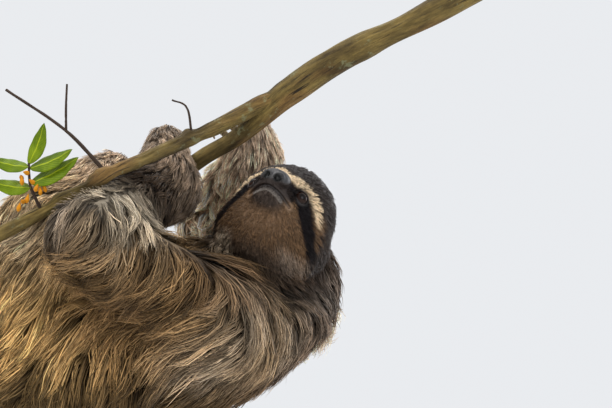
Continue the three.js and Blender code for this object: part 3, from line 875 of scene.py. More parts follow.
def clump_up(roots, facts, rng):
    """Picks one guide for each clump and the guide that each root belongs to."""
    order = rng.permutation(len(roots))
    share = 1.0 / np.clip(facts[:, 3] * 1.4, 5, 20)
    guides = order[rng.random(len(roots))[order] < share[order]]
    tree = KDTree(len(guides))
    for index, guide in enumerate(guides):
        tree.insert(roots[guide], index)
    tree.balance()
    owner = np.array([tree.find(root)[1] for root in roots])
    return guides, owner


def tuck_in(paths):
    """Ends every strand where it would run out in front of the front branch."""
    steps = paths.shape[1] - 1
    hidden = over_branch(paths.reshape(-1, 3)).reshape(paths.shape[:2]) > -1.5
    first = np.where(hidden.any(1), np.argmax(hidden, 1), steps + 1)
    cut = np.clip((first - 0.6) / steps, 0.12, 1.0)
    spot = np.linspace(0, 1, steps + 1)[None] * cut[:, None] * steps
    low = np.minimum(spot.astype(int), steps - 1)
    part = (spot - low)[:, :, None]
    row = np.arange(len(paths))[:, None]
    return paths[row, low] * (1 - part) + paths[row, low + 1] * part


def hair_paths(roots, facts, rng, steps):
    """Centre line of every tuft: its clump's line, eased from its own root towards the clump's tip."""
    guides, owner = clump_up(roots, facts, rng)
    length, height, curl = facts[:, 0], facts[:, 2], facts[:, 4]
    guide_height = height[guides] * rng.uniform(*GUIDE_RISE, len(guides))
    guide_length = length[guides] * rng.uniform(*GUIDE_STRETCH, len(guides))
    swirl = (0.06 + 0.3 * np.clip(curl[guides] - 0.9, 0, 2))[:, None]
    turns = rng.normal(size=(len(guides), 2)) * swirl * [1.0, 2.0]
    lines = follow(roots[guides], guide_length, guide_height, curl[guides], turns, steps)
    own = lines[owner]
    share = np.linspace(0, 1, steps + 1)
    pull = rng.uniform(*CLUMP_PULL, len(roots)) * (1 - 0.6 * facts[:, 5])
    gather = (pull[:, None] * share**1.3)[:, :, None]
    stretch = rng.uniform(*OWN_STRETCH, len(roots))[:, None, None]
    carried = roots[:, None, :] + (own - own[:, :1]) * stretch
    paths = carried * (1 - gather) + own * gather
    paths[:, 0] = roots
    # Each strand strays a little to one side, in a slow wave
    direction = unit(rng.normal(size=(len(roots), 1, 3)))
    phase = rng.uniform(0, 2 * math.pi, (len(roots), 1))
    waves = np.sin(share[None] * rng.uniform(*WAVE_RATE, (len(roots), 1)) + phase) - np.sin(phase)
    loose = np.where(rng.random(len(roots)) < LOOSE_SHARE, LOOSE_STRAY, 1.0)
    stray = ((0.035 + 0.03 * curl) * loose * length)[:, None] * waves * share
    paths = tuck_in(paths + stray[:, :, None] * direction)
    # Keep every strand over the skin and off the branches, and sink its root a little
    flat = paths.reshape(-1, 3)
    distance = skin_distance(flat)
    normal = slope_of(flat, distance)
    own_height = height * rng.uniform(*OWN_RISE, len(roots))
    low = (own_height[:, None] * (1 - (1 - share) ** 2)).ravel()
    high = np.where(length[:, None] < 20, height[:, None] * 0.9 + 1.5 * share[None], FAR_OFF).ravel()
    low[:: steps + 1], high[:: steps + 1] = ROOT_DEPTH
    flat = flat + normal * (np.clip(distance, low, high) - distance)[:, None]
    clear = perch_distance(flat)
    near = np.flatnonzero(clear < PERCH_ROOM + 1)
    if len(near):
        away = np.empty((len(near), 3))
        for axis in range(3):
            moved = flat[near].copy()
            moved[:, axis] += SLOPE_STEP
            away[:, axis] = (perch_distance(moved) - clear[near]) / SLOPE_STEP
        flat[near] += unit(away) * np.maximum(PERCH_ROOM + 0.4 - clear[near], 0)[:, None]
        clear[near] = perch_distance(flat[near])
    return flat.reshape(paths.shape), normal.reshape(paths.shape), owner, clear.reshape(len(roots), -1)


def tuft_meshes(paths, normals, widths, colours, patches, prefix, root_shade):
    """Closed three-sided tapering locks along the paths, joined into pieces of a bounded size."""
    count, rings = paths.shape[0], paths.shape[1] - 1
    along = unit(np.gradient(paths, axis=1))
    across = unit(np.cross(along, normals))
    upward = np.cross(across, along)
    share = np.linspace(0, 1, rings + 1)
    taper = np.minimum(0.55 + 1.9 * share, 1.0) * (1 - share**2.2) ** 0.9
    half = (widths[:, None] * 0.5 * taper[None])[:, :, None]
    lift = half * 0.55
    left = paths + across * half - upward * lift * 0.4
    right = paths - across * half - upward * lift * 0.4
    ridge = paths + upward * lift
    body = np.stack([left, ridge, right], 2)[:, :rings].reshape(count, rings * 3, 3)
    points = np.concatenate([body, paths[:, rings:]], 1)
    per_tuft = rings * 3 + 1
    faces = [(0, 2, 1)]
    for ring in range(rings - 1):
        base = ring * 3
        for side in range(3):
            a, b = base + side, base + (side + 1) % 3
            faces += [(a, b, b + 3), (a, b + 3, a + 3)]
    base = (rings - 1) * 3
    faces += [(base + side, base + (side + 1) % 3, rings * 3) for side in range(3)]
    faces = np.array(faces)
    shade = root_shade + (1 - root_shade) * ramp(share, 0.0, 0.65)
    shade = np.append(np.repeat(shade[:rings], 3), TIP_SHADE)
    around = np.append(np.tile([0.0, 0.5, 1.0], rings), 0.5) - 0.5
    forward = np.append(np.repeat(share[:rings], 3), 1.0) - 0.5
    spot = np.column_stack([forward, around]) * BAKE_PATCH
    per_piece = PIECE_TRIANGLES // len(faces)
    pieces = []
    for number, start in enumerate(range(0, count, per_piece)):
        end = min(start + per_piece, count)
        size = end - start
        block = points[start:end].reshape(-1, 3)
        index = (faces[None] + (np.arange(size) * per_tuft)[:, None, None]).reshape(-1, 3)
        name = f"{prefix}_{number + 1}"
        mesh = bpy.data.meshes.new(name)
        mesh.vertices.add(len(block))
        mesh.vertices.foreach_set("co", (block * MM).astype(np.float32).ravel())
        mesh.loops.add(index.size)
        mesh.loops.foreach_set("vertex_index", index.astype(np.int32).ravel())
        mesh.polygons.add(len(index))
        mesh.polygons.foreach_set("loop_start", np.arange(0, index.size, 3, dtype=np.int32))
        mesh.polygons.foreach_set("use_smooth", np.ones(len(index), bool))
        mesh.update(calc_edges=True)
        tint = mesh.color_attributes.new("tint", "FLOAT_COLOR", "POINT")
        colour = colours[start:end, None, :] * shade[None, :, None]
        colour = np.concatenate([colour, np.ones((size, per_tuft, 1))], 2)
        tint.data.foreach_set("color", colour.astype(np.float32).ravel())
        bake = mesh.uv_layers.new(name="OFBake")
        place = (patches[start:end, None] + spot[None]).reshape(-1, 2)
        bake.data.foreach_set("uv", place[index.ravel()].astype(np.float32).ravel())
        piece = bpy.data.objects.new(name, mesh)
        bpy.context.scene.collection.objects.link(piece)
        pieces.append(piece)
    return pieces


# ---------------------------------------------------------------- branch, leaves, claws, eyes

def smooth_line(stations, steps):
    """Catmull-Rom points and radii through the stations."""
    places = np.array([at for at, _ in stations], float)
    radii = np.array([radius for _, radius in stations], float)
    table = np.column_stack([places, radii])
    table = np.vstack([2 * table[0] - table[1], table, 2 * table[-1] - table[-2]])
    out = []
    for share in np.linspace(0, len(stations) - 1, steps + 1):
        index = min(int(share), len(stations) - 2)
        t = share - index
        a, b, c, d = table[index : index + 4]
        out.append(
            0.5 * (2 * b + (c - a) * t + (2 * a - 5 * b + 4 * c - d) * t**2 + (3 * b - a - 3 * c + d) * t**3)
        )
    out = np.array(out)
    return out[:, :3], out[:, 3]


def turns_of(sides):
    return np.arange(sides) * 2 * math.pi / sides


def ring_faces(rings, sides):
    """Faces of a closed skin: a first point, rings of points, a last point."""
    faces = [(0, 1 + (side + 1) % sides, 1 + side) for side in range(sides)]
    for ring in range(rings - 1):
        base = 1 + ring * sides
        for side in range(sides):
            after = (side + 1) % sides
            faces.append((base + side, base + after, base + sides + after, base + sides + side))
    base, last = 1 + (rings - 1) * sides, 1 + rings * sides
    return faces + [(last, base + side, base + (side + 1) % sides) for side in range(sides)]


def swept(line, radii, sides, profile=None):
    """Rings round a line, closed at both ends; profile(share, angle) scales the radius."""
    along = unit(np.gradient(line, axis=0))
    across = np.array([0.31, 0.95, 0.17])
    rings = []
    angles = turns_of(sides)
    for index, (centre, direction, radius) in enumerate(zip(line, along, radii)):
        across = unit(across - direction * (across @ direction))
        other = np.cross(direction, across)
        spoke = np.cos(angles)[:, None] * across + np.sin(angles)[:, None] * other
        scale = 1.0 if profile is None else profile(index / (len(line) - 1), angles)[:, None]
        rings.append(centre + spoke * radius * scale)
    return np.concatenate([line[:1], np.concatenate(rings), line[-1:]]), ring_faces(len(line), sides)


KNOT_SPAN = 0.016


def bark_profile(seed, amount, knots=()):
    """Ridges that run along a limb and wander round it, with swellings at the knots (share, angle, size)."""
    rng = np.random.default_rng(seed)
    ridges = [(turns, rng.uniform(-5, 5), rng.uniform(0, 6.3)) for turns in (2, 3, 5, 7, 9, 11)]
    waves = [(rng.uniform(9, 70), rng.uniform(0, 6.3)) for _ in range(5)]

    def profile(share, angles):
        ripple = 0.0
        for turns, twist, phase in ridges:
            wander_by = 0.9 * math.sin(11 * share + phase * 3)
            ripple = ripple + np.sin(turns * angles + twist * share + phase + wander_by) / turns**0.5
        ripple = ripple + 0.5 * sum(math.sin(rate * share + phase) for rate, phase in waves)
        bump = sum(
            size * np.exp(-(((share - place) / KNOT_SPAN) ** 2)) * np.exp(1.6 * (np.cos(angles - turn) - 1))
            for place, turn, size in knots
        )
        return 0.95 + amount * (0.5 * ripple - 0.6 * np.abs(ripple)) + bump

    return profile


def paint(piece, colours):
    tint = piece.data.color_attributes.new("tint", "FLOAT_COLOR", "POINT")
    full = np.column_stack([colours, np.ones(len(colours))])
    tint.data.foreach_set("color", full.astype(np.float32).ravel())


def join(pieces, name):
    """Joins mesh objects into the first one."""
    work = bmesh.new()
    for piece in pieces:
        work.from_mesh(piece.data)
    work.to_mesh(pieces[0].data)
    work.free()
    for piece in pieces[1:]:
        bpy.data.objects.remove(piece)
    pieces[0].name = name
    return pieces[0]


TWIGS = [
    [((90, -87, 495), 1.6), ((86.2, -99.8, 516.7), 1.2), ((73.7, -102.1, 523), 1.0)],
    [((29, -132, 444), 2.4), ((-7.3, -136, 481.6), 1.9), ((-58, -131, 519), 1.6)],
    [((-6.5, -136, 481.5), 1.5), ((-6.9, -140, 499), 1.3), ((-6.6, -144, 518), 1.1)],
    [
        ((-20.6, -134.5, 412), 2.2), ((-24.9, -144.1, 419.1), 1.9), ((-29.2, -150.2, 430), 1.6),
        ((-30, -156.5, 445), 1.3),
    ],
]
LEAVES = [
    ((-30, -156.5, 444), (-17, -172, 472), 6.5),
    ((-29.5, -155, 441), (4.5, -165, 453), 7.5),
    ((-28.8, -151, 430), (9, -161, 448), 8.5),
    ((-30, -156, 442), (-62, -157, 449), 6.5),
    ((-28.5, -149.5, 427), (-60, -154, 431), 7.5),
]
BUDS = [
    (-35, -153, 431), (-24, -151, 426), (-31, -156, 437), (-21, -149, 424), (-37, -148, 411),
    (-27, -152, 431), (-36, -151, 435), (-31, -148, 418), (-18, -148, 427), (-34, -149, 416),
]
# Knots: share along the branch, angle round it, size
REAR_KNOTS = [(0.545, 1.7, 0.2), (0.78, 4.0, 0.1), (0.9, 2.0, 0.06), (0.3, 2.0, 0.1)]
FRONT_KNOTS = [
    (0.37, 1.9, 0.65), (0.345, 1.5, 0.55), (0.395, 2.6, 0.45), (0.25, 2.2, 0.3), (0.27, 3.2, 0.2),
    (0.667, 1.9, 0.45), (0.15, 3.4, 0.2),
]


# Bark's tone, which its material reads
LIMB_TONE, TWIG_TONE, BUD_TONE = 1.0, 0.0, 2.0
BUD_RADIUS = 1.9


def bark_piece(name, stations, steps, sides, profile, thin, tone):
    """A limb or twig with its bark's own coordinates (along, and round as a circle) and a tone."""
    line, radii = smooth_line(stations, steps)
    points, faces = swept(line, radii * thin, sides, profile)
    piece = add_mesh(name, points, faces)
    run = np.append(0, np.cumsum(np.linalg.norm(np.diff(line, axis=0), axis=1)))
    angles = np.tile(turns_of(sides), len(line))
    wide = np.repeat(radii, sides)
    lay = np.column_stack([np.repeat(run, sides), np.cos(angles) * wide, np.sin(angles) * wide])
    lay = np.vstack([lay[:1] * [1, 0, 0], lay, lay[-1:] * [1, 0, 0]]) * MM
    mark_points(piece, "lay", "FLOAT_VECTOR", "vector", lay)
    mark_points(piece, "tone", "FLOAT", "value", np.full(len(lay), tone))
    return piece


def build_bud(number, centre, radius):
    """A small pointed flower bud."""
    centre = np.array(centre, float)
    axis = unit(np.array([0.3 * math.sin(number * 2.1), -0.5, 0.4 + 0.5 * math.cos(number * 1.7)]))
    line = centre + axis * np.linspace(-1.6, 2.4, 9)[:, None] * radius
    width = radius * np.array([0.25, 0.75, 1.0, 1.02, 0.95, 0.8, 0.6, 0.38, 0.15])
    ribs = bark_profile(60 + number, 0.1)
    points, faces = swept(line, width, 12, ribs)
    piece = add_mesh(f"bud_{number}", points, faces)
    lay = (points - centre) * MM
    mark_points(piece, "lay", "FLOAT_VECTOR", "vector", lay)
    mark_points(piece, "tone", "FLOAT", "value", np.full(len(lay), BUD_TONE))
    return piece


def build_perch():
    pieces = [
        bark_piece("limb_1", REAR_BRANCH, 190, 48, bark_profile(20, 0.07, REAR_KNOTS), 0.97, LIMB_TONE),
        bark_piece("limb_2", FRONT_BRANCH, 150, 40, bark_profile(21, 0.10, FRONT_KNOTS), 0.94, LIMB_TONE),
    ]
    for number, twig in enumerate(TWIGS):
        bark = bark_profile(40 + number, 0.1)
        pieces.append(bark_piece(f"twig_{number}", twig, 16, 10, bark, 0.8, TWIG_TONE))
    pieces += [build_bud(number, at, BUD_RADIUS) for number, at in enumerate(BUDS)]
    return join(pieces, "branch")


def build_leaf(number, foot, tip, half_width):
    """A folded blade with a raised midrib, thin and closed, with its own map for the veins."""
    foot, tip = np.array(foot, float), np.array(tip, float)
    along = unit(tip - foot)
    across = unit(np.cross(along, (0, -1, 0.35)))
    normal = np.cross(along, across)
    rows, columns = 19, 9
    points, marks = [], []
    for side in (1, -1):
        for row in range(rows):
            share = row / (rows - 1)
            half = max(half_width * math.sin(math.pi * share**0.8) ** 0.8 if 0 < share < 1 else 0.0, 0.25)
            middle = foot + (tip - foot) * share + normal * 2.5 * math.sin(math.pi * share)
            for column in range(columns):
                spread = column / (columns - 1) * 2 - 1
                fold = 0.9 * abs(spread) * half / half_width - 0.35 * math.exp(-((spread * 6) ** 2))
                ripple = 0.25 * math.sin(share * 21 + spread * 2)
                at = middle + across * half * spread + normal * (fold + ripple + side * 0.22)
                points.append(at)
                marks.append((share, (spread + 1) / 2))
    sheet = rows * columns
    faces = []
    for row in range(rows - 1):
        for column in range(columns - 1):
            a = row * columns + column
            quad = (a, a + columns, a + columns + 1, a + 1)
            faces.append(quad)
            faces.append(tuple(sheet + corner for corner in reversed(quad)))
    rim = [row * columns for row in range(rows)]
    rim += [(rows - 1) * columns + column for column in range(1, columns)]
    rim += [row * columns + columns - 1 for row in range(rows - 2, -1, -1)]
    rim += list(range(columns - 2, 0, -1))
    for a, b in zip(rim, rim[1:] + rim[:1]):
        faces.append((b, a, a + sheet, b + sheet))
    piece = add_mesh(f"leaf_{number}", points, faces)
    layer = piece.data.uv_layers.new(name="Blade")
    for loop in piece.data.loops:
        layer.data[loop.index].uv = marks[loop.vertex_index]
    return piece


# Paw: branch direction, axis point, claw angles from straight up, reaches at root and tip
PAWS = {
    "hand_L": ((38, -18, 18), (57, -14, 477.5), -8, -205, 38, 12.5),
    "hand_R": ((33, -17, 15), (121, -45.8, 510.5), -80, 78, 42, 12.5),
    "foot_L": ((44, -22, 21), (13, 6.7, 457.9), -4, -195, 36, 12.5),
    "foot_R": ((52, -25, 24), (-39, 31.4, 433.9), 12, 195, 38, 12.5),
}
CLAW_SPACING, CLAW_RADIUS, CLAW_TIP, CLAW_CLOSING = 10.0, 3.6, 0.7, 0.42
CLAW_RINGS, CLAW_SIDES, CLAW_THIN = 33, 14, 0.97
EYE_RINGS, EYE_SIDES = 30, 40


def build_claw(paw, place):
    """A claw wound in towards its branch, the middle one at place 2."""
    branch, centre, start, end, root_reach, tip_reach = PAWS[paw]
    branch = Vector(branch).normalized()
    upward = (Vector((0, 0, 1)) - branch * branch.z).normalized()
    centre = Vector(centre) + branch * (place - 2) * CLAW_SPACING
    line, radii = [], []
    for share in np.linspace(0, 1, CLAW_RINGS):
        angle = math.radians(start + (end - start) * share)
        reach = root_reach + (tip_reach - root_reach) * share**CLAW_CLOSING
        arm = upward * math.cos(angle) + branch.cross(upward) * math.sin(angle)
        line.append(centre + arm * reach)
        radii.append(CLAW_RADIUS + (CLAW_TIP - CLAW_RADIUS) * share**1.5)
    line = np.array([list(at) for at in line])
    points, faces = swept(line, np.array(radii) * CLAW_THIN, CLAW_SIDES)
    piece = add_mesh(f"claw_{paw}_horn_{place}", points, faces)
    share = np.concatenate([[0], np.repeat(np.linspace(0, 1, CLAW_RINGS), CLAW_SIDES), [1]])
    streak = 1 + 0.07 * np.sin(share * 60 + np.arange(len(share)) * 0.9)
    colours = mixed(np.tile(HORN_ROOT, (len(share), 1)), HORN, ramp(share, 0.02, 0.4))
    colours = mixed(colours, HORN_TIP, ramp(share, 0.75, 1.0))
    paint(piece, colours * streak[:, None])
    return piece


def build_eye(side):
    """An eyeball with a slight cornea, dark pupil and brown iris; side is 1 on the right, -1 on the left."""
    centre = EYE_CENTRE * np.array([side, 1, 1])
    outward = EYE_OUT * np.array([side, 1, 1])
    rings, sides = EYE_RINGS, EYE_SIDES
    first = unit(np.cross(outward, (0.2, 0.1, 1.0)))
    second = np.cross(outward, first)
    points, polar = [centre + outward * EYE_RADIUS * 1.03], [0.0]
    for ring in range(1, rings):
        angle = math.pi * ring / rings
        swell = 1 + 0.03 * math.exp(-((angle / 0.6) ** 2))
        for turn in turns_of(sides):
            spoke = math.cos(turn) * first + math.sin(turn) * second
            points.append(centre + (outward * math.cos(angle) + spoke * math.sin(angle)) * EYE_RADIUS * swell)
            polar.append(angle)
    points.append(centre - outward * EYE_RADIUS)
    polar.append(math.pi)
    points = from_head(np.array(points))
    piece = add_mesh("eyeball_R" if side > 0 else "eyeball_L", points, ring_faces(rings - 1, sides))
    work = bmesh.new()
    work.from_mesh(piece.data)
    bmesh.ops.recalc_face_normals(work, faces=work.faces[:])
    work.to_mesh(piece.data)
    work.free()
    polar = np.array(polar)
    colours = np.tile(PUPIL, (len(polar), 1))
    colours = mixed(colours, IRIS, ramp(polar, 0.36, 0.46) * ramp(-polar, -0.95, -0.8))
    paint(piece, colours)
    return piece


# ---------------------------------------------------------------- materials

class Look:
    """A material and the nodes that feed its shader."""

    def __init__(self, name):
        self.material = bpy.data.materials.new(name)
        self.material.use_nodes = True
        self.nodes, self.links = self.material.node_tree.nodes, self.material.node_tree.links
        self.shader = self.nodes["Principled BSDF"]

    def fill(self, node, inputs):
        """Joins or sets a node's inputs."""
        for key, value in inputs.items():
            socket = node.inputs[key]
            if isinstance(value, bpy.types.NodeSocket):
                self.links.new(value, socket)
            else:
                socket.default_value = (*value, 1.0) if socket.type == "RGBA" else value

    def add(self, kind, output, inputs=None, **settings):
        """Adds a node and hands back one output of it."""
        made = self.nodes.new("ShaderNode" + kind)
        for key, value in settings.items():
            setattr(made, key, value)
        self.fill(made, inputs or {})
        return made.outputs[output]

    def shade(self, **inputs):
        """Feeds the shader; an underscore in a name stands for a space."""
        self.fill(self.shader, {key.replace("_", " "): value for key, value in inputs.items()})

    def noise(self, scale, detail=4.0, roughness=0.6, stretch=None, where=None):
        """A noise over the object's own space or another place, drawn out along an axis by stretch."""
        where = where or self.add("TexCoord", "Object")
        if stretch:
            where = self.add("Mapping", "Vector", {"Vector": where, "Scale": stretch})
        inputs = {"Vector": where, "Scale": scale, "Detail": detail, "Roughness": roughness}
        return self.add("TexNoise", "Fac", inputs)

    def between(self, value, low, high, smallest=0.0, largest=1.0):
        """Maps low-high of a value onto smallest-largest, held at the ends."""
        inputs = {"Value": value, "From Min": low, "From Max": high, "To Min": smallest, "To Max": largest}
        return self.add("MapRange", "Result", inputs)

    def spread(self, value, low, high):
        """Maps the middle of a noise onto low-high."""
        return self.between(value, 0.3, 0.7, low, high)

    def times(self, colour, factor):
        inputs = {"Factor": 1.0, 6: colour, 7: factor}
        return self.add("Mix", 2, inputs, data_type="RGBA", blend_type="MULTIPLY")

    def mix(self, factor, first, second):
        return self.add("Mix", 2, {"Factor": factor, 6: first, 7: second}, data_type="RGBA")

    def bump(self, height, strength, distance):
        inputs = {"Height": height, "Strength": strength, "Distance": distance}
        self.shade(Normal=self.add("Bump", "Normal", inputs))


def tinted(name, scale, detail, low, high):
    """A look in the piece's own tint, with a fine grain."""
    look = Look(name)
    grain = look.spread(look.noise(scale, detail), low, high)
    look.shade(Base_Color=look.times(look.add("VertexColor", "Color", layer_name="tint"), grain))
    return look


def coat_material():
    look = tinted("coat", 420.0, 3.0, 0.78, 1.22)
    look.shade(Roughness=look.spread(look.noise(90.0), 0.45, 0.65), Specular_IOR_Level=0.14)
    return look.material


def skin_material():
    """Dull under the coat, a little moist where the skin is bare."""
    look = tinted("skin", 700.0, 5.0, 0.7, 1.25)
    bare = look.add("Attribute", "Fac", attribute_name="bare")
    look.shade(Specular_IOR_Level=0.3, Roughness=look.between(bare, 0, 1, 0.8, 0.42))
    cells = look.add("TexVoronoi", "Distance", {"Vector": look.add("TexCoord", "Object"), "Scale": 1300.0})
    look.bump(cells, 0.35, 0.0004)
    return look.material


def horn_material():
    look = tinted("horn", 260.0, 5.0, 0.75, 1.2)
    look.shade(Roughness=look.spread(look.noise(150.0), 0.28, 0.5))
    look.bump(look.noise(500.0, 4.0), 0.25, 0.0003)
    return look.material


def eye_material():
    look = tinted("eye", 900.0, 3.0, 0.6, 1.5)
    look.shade(Roughness=0.07, IOR=1.24)
    return look.material


def bark_material():
    """Olive-brown bark with long fibres and dark fissures, pale lichen, near-black twigs, orange buds."""
    look = Look("bark")
    lay = look.add("Attribute", "Vector", attribute_name="lay")
    broad = look.between(look.noise(46.0, 5.0, 0.6, (0.5, 1, 1), lay), 0.35, 0.65)
    colour = look.mix(broad, srgb(60, 48, 24), srgb(112, 95, 52))
    rust = look.between(look.noise(30.0, 3.0, 0.5, (0.4, 1, 1), lay), 0.56, 0.70, 0.0, 0.4)
    colour = look.mix(rust, colour, srgb(122, 84, 48))
    fibre = look.noise(330.0, 6.0, 0.7, (0.16, 1, 1), lay)
    colour = look.times(colour, look.spread(fibre, 0.5, 1.45))
    crack = look.between(look.noise(240.0, 5.0, 0.65, (0.08, 1, 1), lay), 0.56, 0.66)
    colour = look.mix(crack, colour, srgb(34, 27, 17))
    lichen = look.between(look.noise(75.0, 7.0, 0.72, (1, 1, 1), lay), 0.60, 0.66, 0.0, 0.5)
    colour = look.mix(lichen, colour, srgb(122, 126, 96))
    tone = look.add("Attribute", "Fac", attribute_name="tone")
    dark = look.times(srgb(50, 38, 30), look.spread(fibre, 0.6, 1.5))
    colour = look.mix(look.spread(tone, 0, 1), dark, colour)
    ripe = look.times(srgb(196, 128, 20), look.spread(fibre, 0.7, 1.2))
    colour = look.mix(look.between(tone, 1.3, 1.7), colour, ripe)
    look.shade(Base_Color=colour, Roughness=0.85, Specular_IOR_Level=0.25)
    look.bump(fibre, 1.0, 0.0016)
    return look.material


def leaf_material():
    """Green blade with a pale midrib and slanting veins."""
    look = Look("leaf")
    where = look.add("UVMap", "UV", uv_map="Blade")
    along = look.add("SeparateXYZ", "X", {"Vector": where})
    over = look.add("SeparateXYZ", "Y", {"Vector": where})
    off = look.add("Math", 0, {0: over, 1: 0.5}, operation="SUBTRACT")
    away = look.add("Math", 0, {0: off}, operation="ABSOLUTE")
    slant = look.add("Math", 0, {0: away, 1: -0.55, 2: along}, operation="MULTIPLY_ADD")
    rows = look.add("Math", 0, {0: slant, 1: 75.0}, operation="MULTIPLY")
    wave = look.add("Math", 0, {0: rows}, operation="SINE")
    base = look.mix(look.spread(look.noise(60.0), 0, 1), srgb(56, 80, 3), srgb(102, 122, 6))
    veined = look.mix(look.between(wave, 0.7, 1.0, 0.0, 0.35), base, srgb(128, 146, 14))
    colour = look.mix(look.between(away, 0.015, 0.05), srgb(142, 154, 26), veined)
    look.shade(Base_Color=colour, Roughness=0.5, Specular_IOR_Level=0.12)
    look.bump(wave, 0.3, 0.0003)
    return look.material


def plain_material(name, first, second, scale, rough, bump, metallic=0.0, stretch=None):
    """Two close tones over a noise, with a fine bump of the same grain."""
    look = Look(name)
    grain = look.noise(scale, 5.0, 0.6, stretch)
    colour = look.mix(look.spread(grain, 0, 1), first, second)
    rough = look.spread(grain, rough * 0.85, min(rough * 1.15, 1))
    look.shade(Base_Color=colour, Roughness=rough, Metallic=metallic)
    look.bump(grain, bump, 0.0004)
    return look.material


# ---------------------------------------------------------------- making

def dress(piece, look, slot, *nodes):
    piece.data.materials.clear()
    piece.data.materials.append(look)
    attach(piece, "root")
    if nodes:
        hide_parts(*nodes)


# Coat piece: shortest and longest hair, steps along a tuft, root shade, spread of the clumps' and tufts' tone
COAT_GROUPS = (
    ("coat_long", 29, 1e3, 4, 0.10, 0.48, 0.44),
    ("coat_mid", 17, 29, 3, 0.2, 0.28, 0.26),
    ("coat_short", 0, 17, 2, 0.45, 0.28, 0.26),
)
BRIGHTNESS = (0.3, 1.75)
WARM, WARM_SPREAD = np.array([1.0, 0.1, -1.2]), 0.022
# Least room between a tuft and the perch; how much darker the skin is under the coat
KEPT_CLEAR, SKIN_SHADE = 0.4, 0.58

rng = np.random.default_rng(SEED)
skin, skin_points = build_skin()

bpy.context.view_layer.objects.active = skin
skin.select_set(True)
skin.data.uv_layers.new(name="Skin")
bpy.ops.object.mode_set(mode="EDIT")
bpy.ops.mesh.select_all(action="SELECT")
bpy.ops.uv.smart_project(angle_limit=math.radians(66), island_margin=0.002)
bpy.ops.object.mode_set(mode="OBJECT")
skin.select_set(False)

_, skin_parts = skin_distance(skin_points, parts=True)
skin_weights = part_weights(skin_parts)
skin_colours = coat_colour(skin_points, skin_weights)
_, _, hairiness, _ = face_hair(skin_points)
bare = np.clip(1 - hairiness / 0.4, 0, 1) * (skin_weights[-1] > 0.9)
front = ramp(head_local(skin_points)[:, 1], 30, 42) * skin_weights[-1]
paint(skin, skin_colours * (1 - SKIN_SHADE + SKIN_SHADE * np.maximum(bare, front))[:, None])
mark_points(skin, "bare", "FLOAT", "value", bare)
dress(skin, skin_material(), "coat", "nose", "head", *PARTS)

roots, patches, facts, weights = grow_roots(skin, rng)
coat_look = coat_material()
lengths = facts[:, 0]
for group, shortest, longest, steps, root_shade, clump_spread, tuft_spread in COAT_GROUPS:
    chosen = (lengths >= shortest) & (lengths < longest)
    group_roots, group_facts = roots[chosen], facts[chosen]
    paths, normals, owner, clear = hair_paths(group_roots, group_facts, rng, steps)
    keep = clear.min(1) > KEPT_CLEAR
    colours = coat_colour(paths[:, steps // 2], weights[:, chosen])
    off_face = 1 - 0.6 * group_facts[:, 5]
    per_clump = np.exp(rng.normal(-0.04, clump_spread, owner.max() + 1))[owner] ** off_face
    per_tuft = np.exp(rng.normal(0, tuft_spread, len(colours))) ** off_face
    warm = rng.normal(0, WARM_SPREAD, (len(colours), 1)) * WARM
    bright = np.clip(per_clump * per_tuft, *BRIGHTNESS)
    colours = np.clip(colours * bright[:, None] * (1 + warm), 0.002, 0.95)
    widths = group_facts[:, 1] * rng.uniform(*WIDTHS, len(colours))
    kept = [table[keep] for table in (paths, normals, widths, colours, patches[chosen])]
    for piece in tuft_meshes(*kept, group, root_shade):
        dress(piece, coat_look, "coat")

horn = horn_material()
for paw in PAWS:
    for place in (1, 2, 3):
        dress(build_claw(paw, place), horn, "claws", f"claw_{paw}_{place}")

eye_look = eye_material()
dress(build_eye(1), eye_look, "eyes", "eye_R")
dress(build_eye(-1), eye_look, "eyes", "eye_L")

dress(build_perch(), bark_material(), "bark", "perch")
leaf_look = leaf_material()
for number, leaf in enumerate(LEAVES, 1):
    dress(build_leaf(number, *leaf), leaf_look, "leaves", f"perch_leaf_{number}")

paint_look = plain_material("stand_paint", srgb(38, 40, 43), srgb(50, 52, 55), 900.0, 0.55, 0.25)
steel_look = plain_material(
    "stand_steel", srgb(150, 152, 155), srgb(190, 192, 195), 300.0, 0.32, 0.2, 1.0, (1.0, 1.0, 0.03)
)
for name, look in (("stand_base", paint_look), ("stand_rod", steel_look)):
    for slot in bpy.data.objects[name].material_slots:
        slot.material = look

# ---------------------------------------------------------------- floor, light, camera

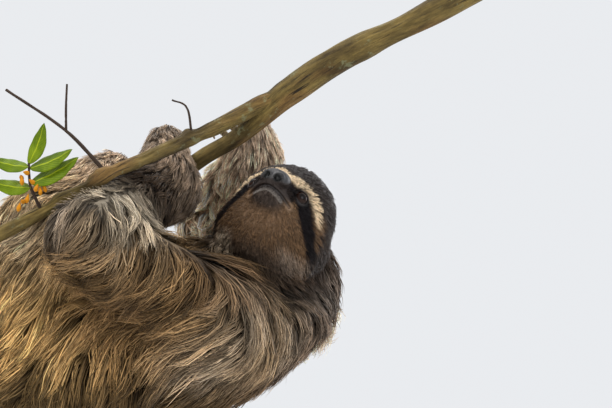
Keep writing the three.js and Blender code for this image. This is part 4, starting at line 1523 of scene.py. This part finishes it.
bpy.ops.mesh.primitive_plane_add(size=8, location=(0, 0, 0))
floor = bpy.context.object
floor.name = "floor"
floor_look = plain_material("floor", srgb(226, 225, 222), srgb(232, 231, 228), 30.0, 0.9, 0.05)
floor.data.materials.append(floor_look)

world = bpy.data.worlds.new("studio")
bpy.context.scene.world = world
world.use_nodes = True
world.node_tree.nodes["Background"].inputs["Color"].default_value = (0.93, 0.95, 0.98, 1)
world.node_tree.nodes["Background"].inputs["Strength"].default_value = 0.88

CENTRE = (0.05, 0.0, 0.4)
# Light: place, size, power, colour
LIGHTS = {
    "sky": ((-0.1, 0.2, 2.0), 1.6, 26, (1.0, 0.99, 0.97)),
    "key": ((-1.0, -1.5, 1.5), 0.42, 24, (1.0, 0.96, 0.90)),
    "fill": ((1.1, -1.2, 0.7), 0.9, 8, (0.97, 0.98, 1.0)),
    "rim": ((1.3, 1.2, 0.9), 1.0, 16, (0.95, 0.97, 1.0)),
}
for name, (place, size, power, colour) in LIGHTS.items():
    lamp = bpy.data.lights.new(name, "AREA")
    lamp.shape = "DISK"
    lamp.size = size
    lamp.energy = power
    lamp.color = colour
    holder = bpy.data.objects.new(name, lamp)
    holder.location = place
    holder.rotation_euler = (Vector(CENTRE) - Vector(place)).to_track_quat("-Z", "Y").to_euler()
    bpy.context.scene.collection.objects.link(holder)

VIEW_TILT = 20.0
VIEW_DISTANCE = 1.2
SENSOR_WIDTH = 36.0
# Focal length over the picture's width
FOCAL_SHARE = 1416.0 / 612.0
AIM = Vector((0.185, -0.050, 0.450))
forward = Vector((0, math.cos(math.radians(VIEW_TILT)), math.sin(math.radians(VIEW_TILT))))
lens = bpy.data.cameras.new("camera")
lens.sensor_width = SENSOR_WIDTH
lens.lens = SENSOR_WIDTH * FOCAL_SHARE
camera = bpy.data.objects.new("camera", lens)
camera.location = AIM - forward * VIEW_DISTANCE
camera.rotation_euler = (math.radians(90 + VIEW_TILT), 0, 0)
bpy.context.scene.collection.objects.link(camera)
bpy.context.scene.camera = camera
bpy.context.scene.view_settings.view_transform = "Standard"
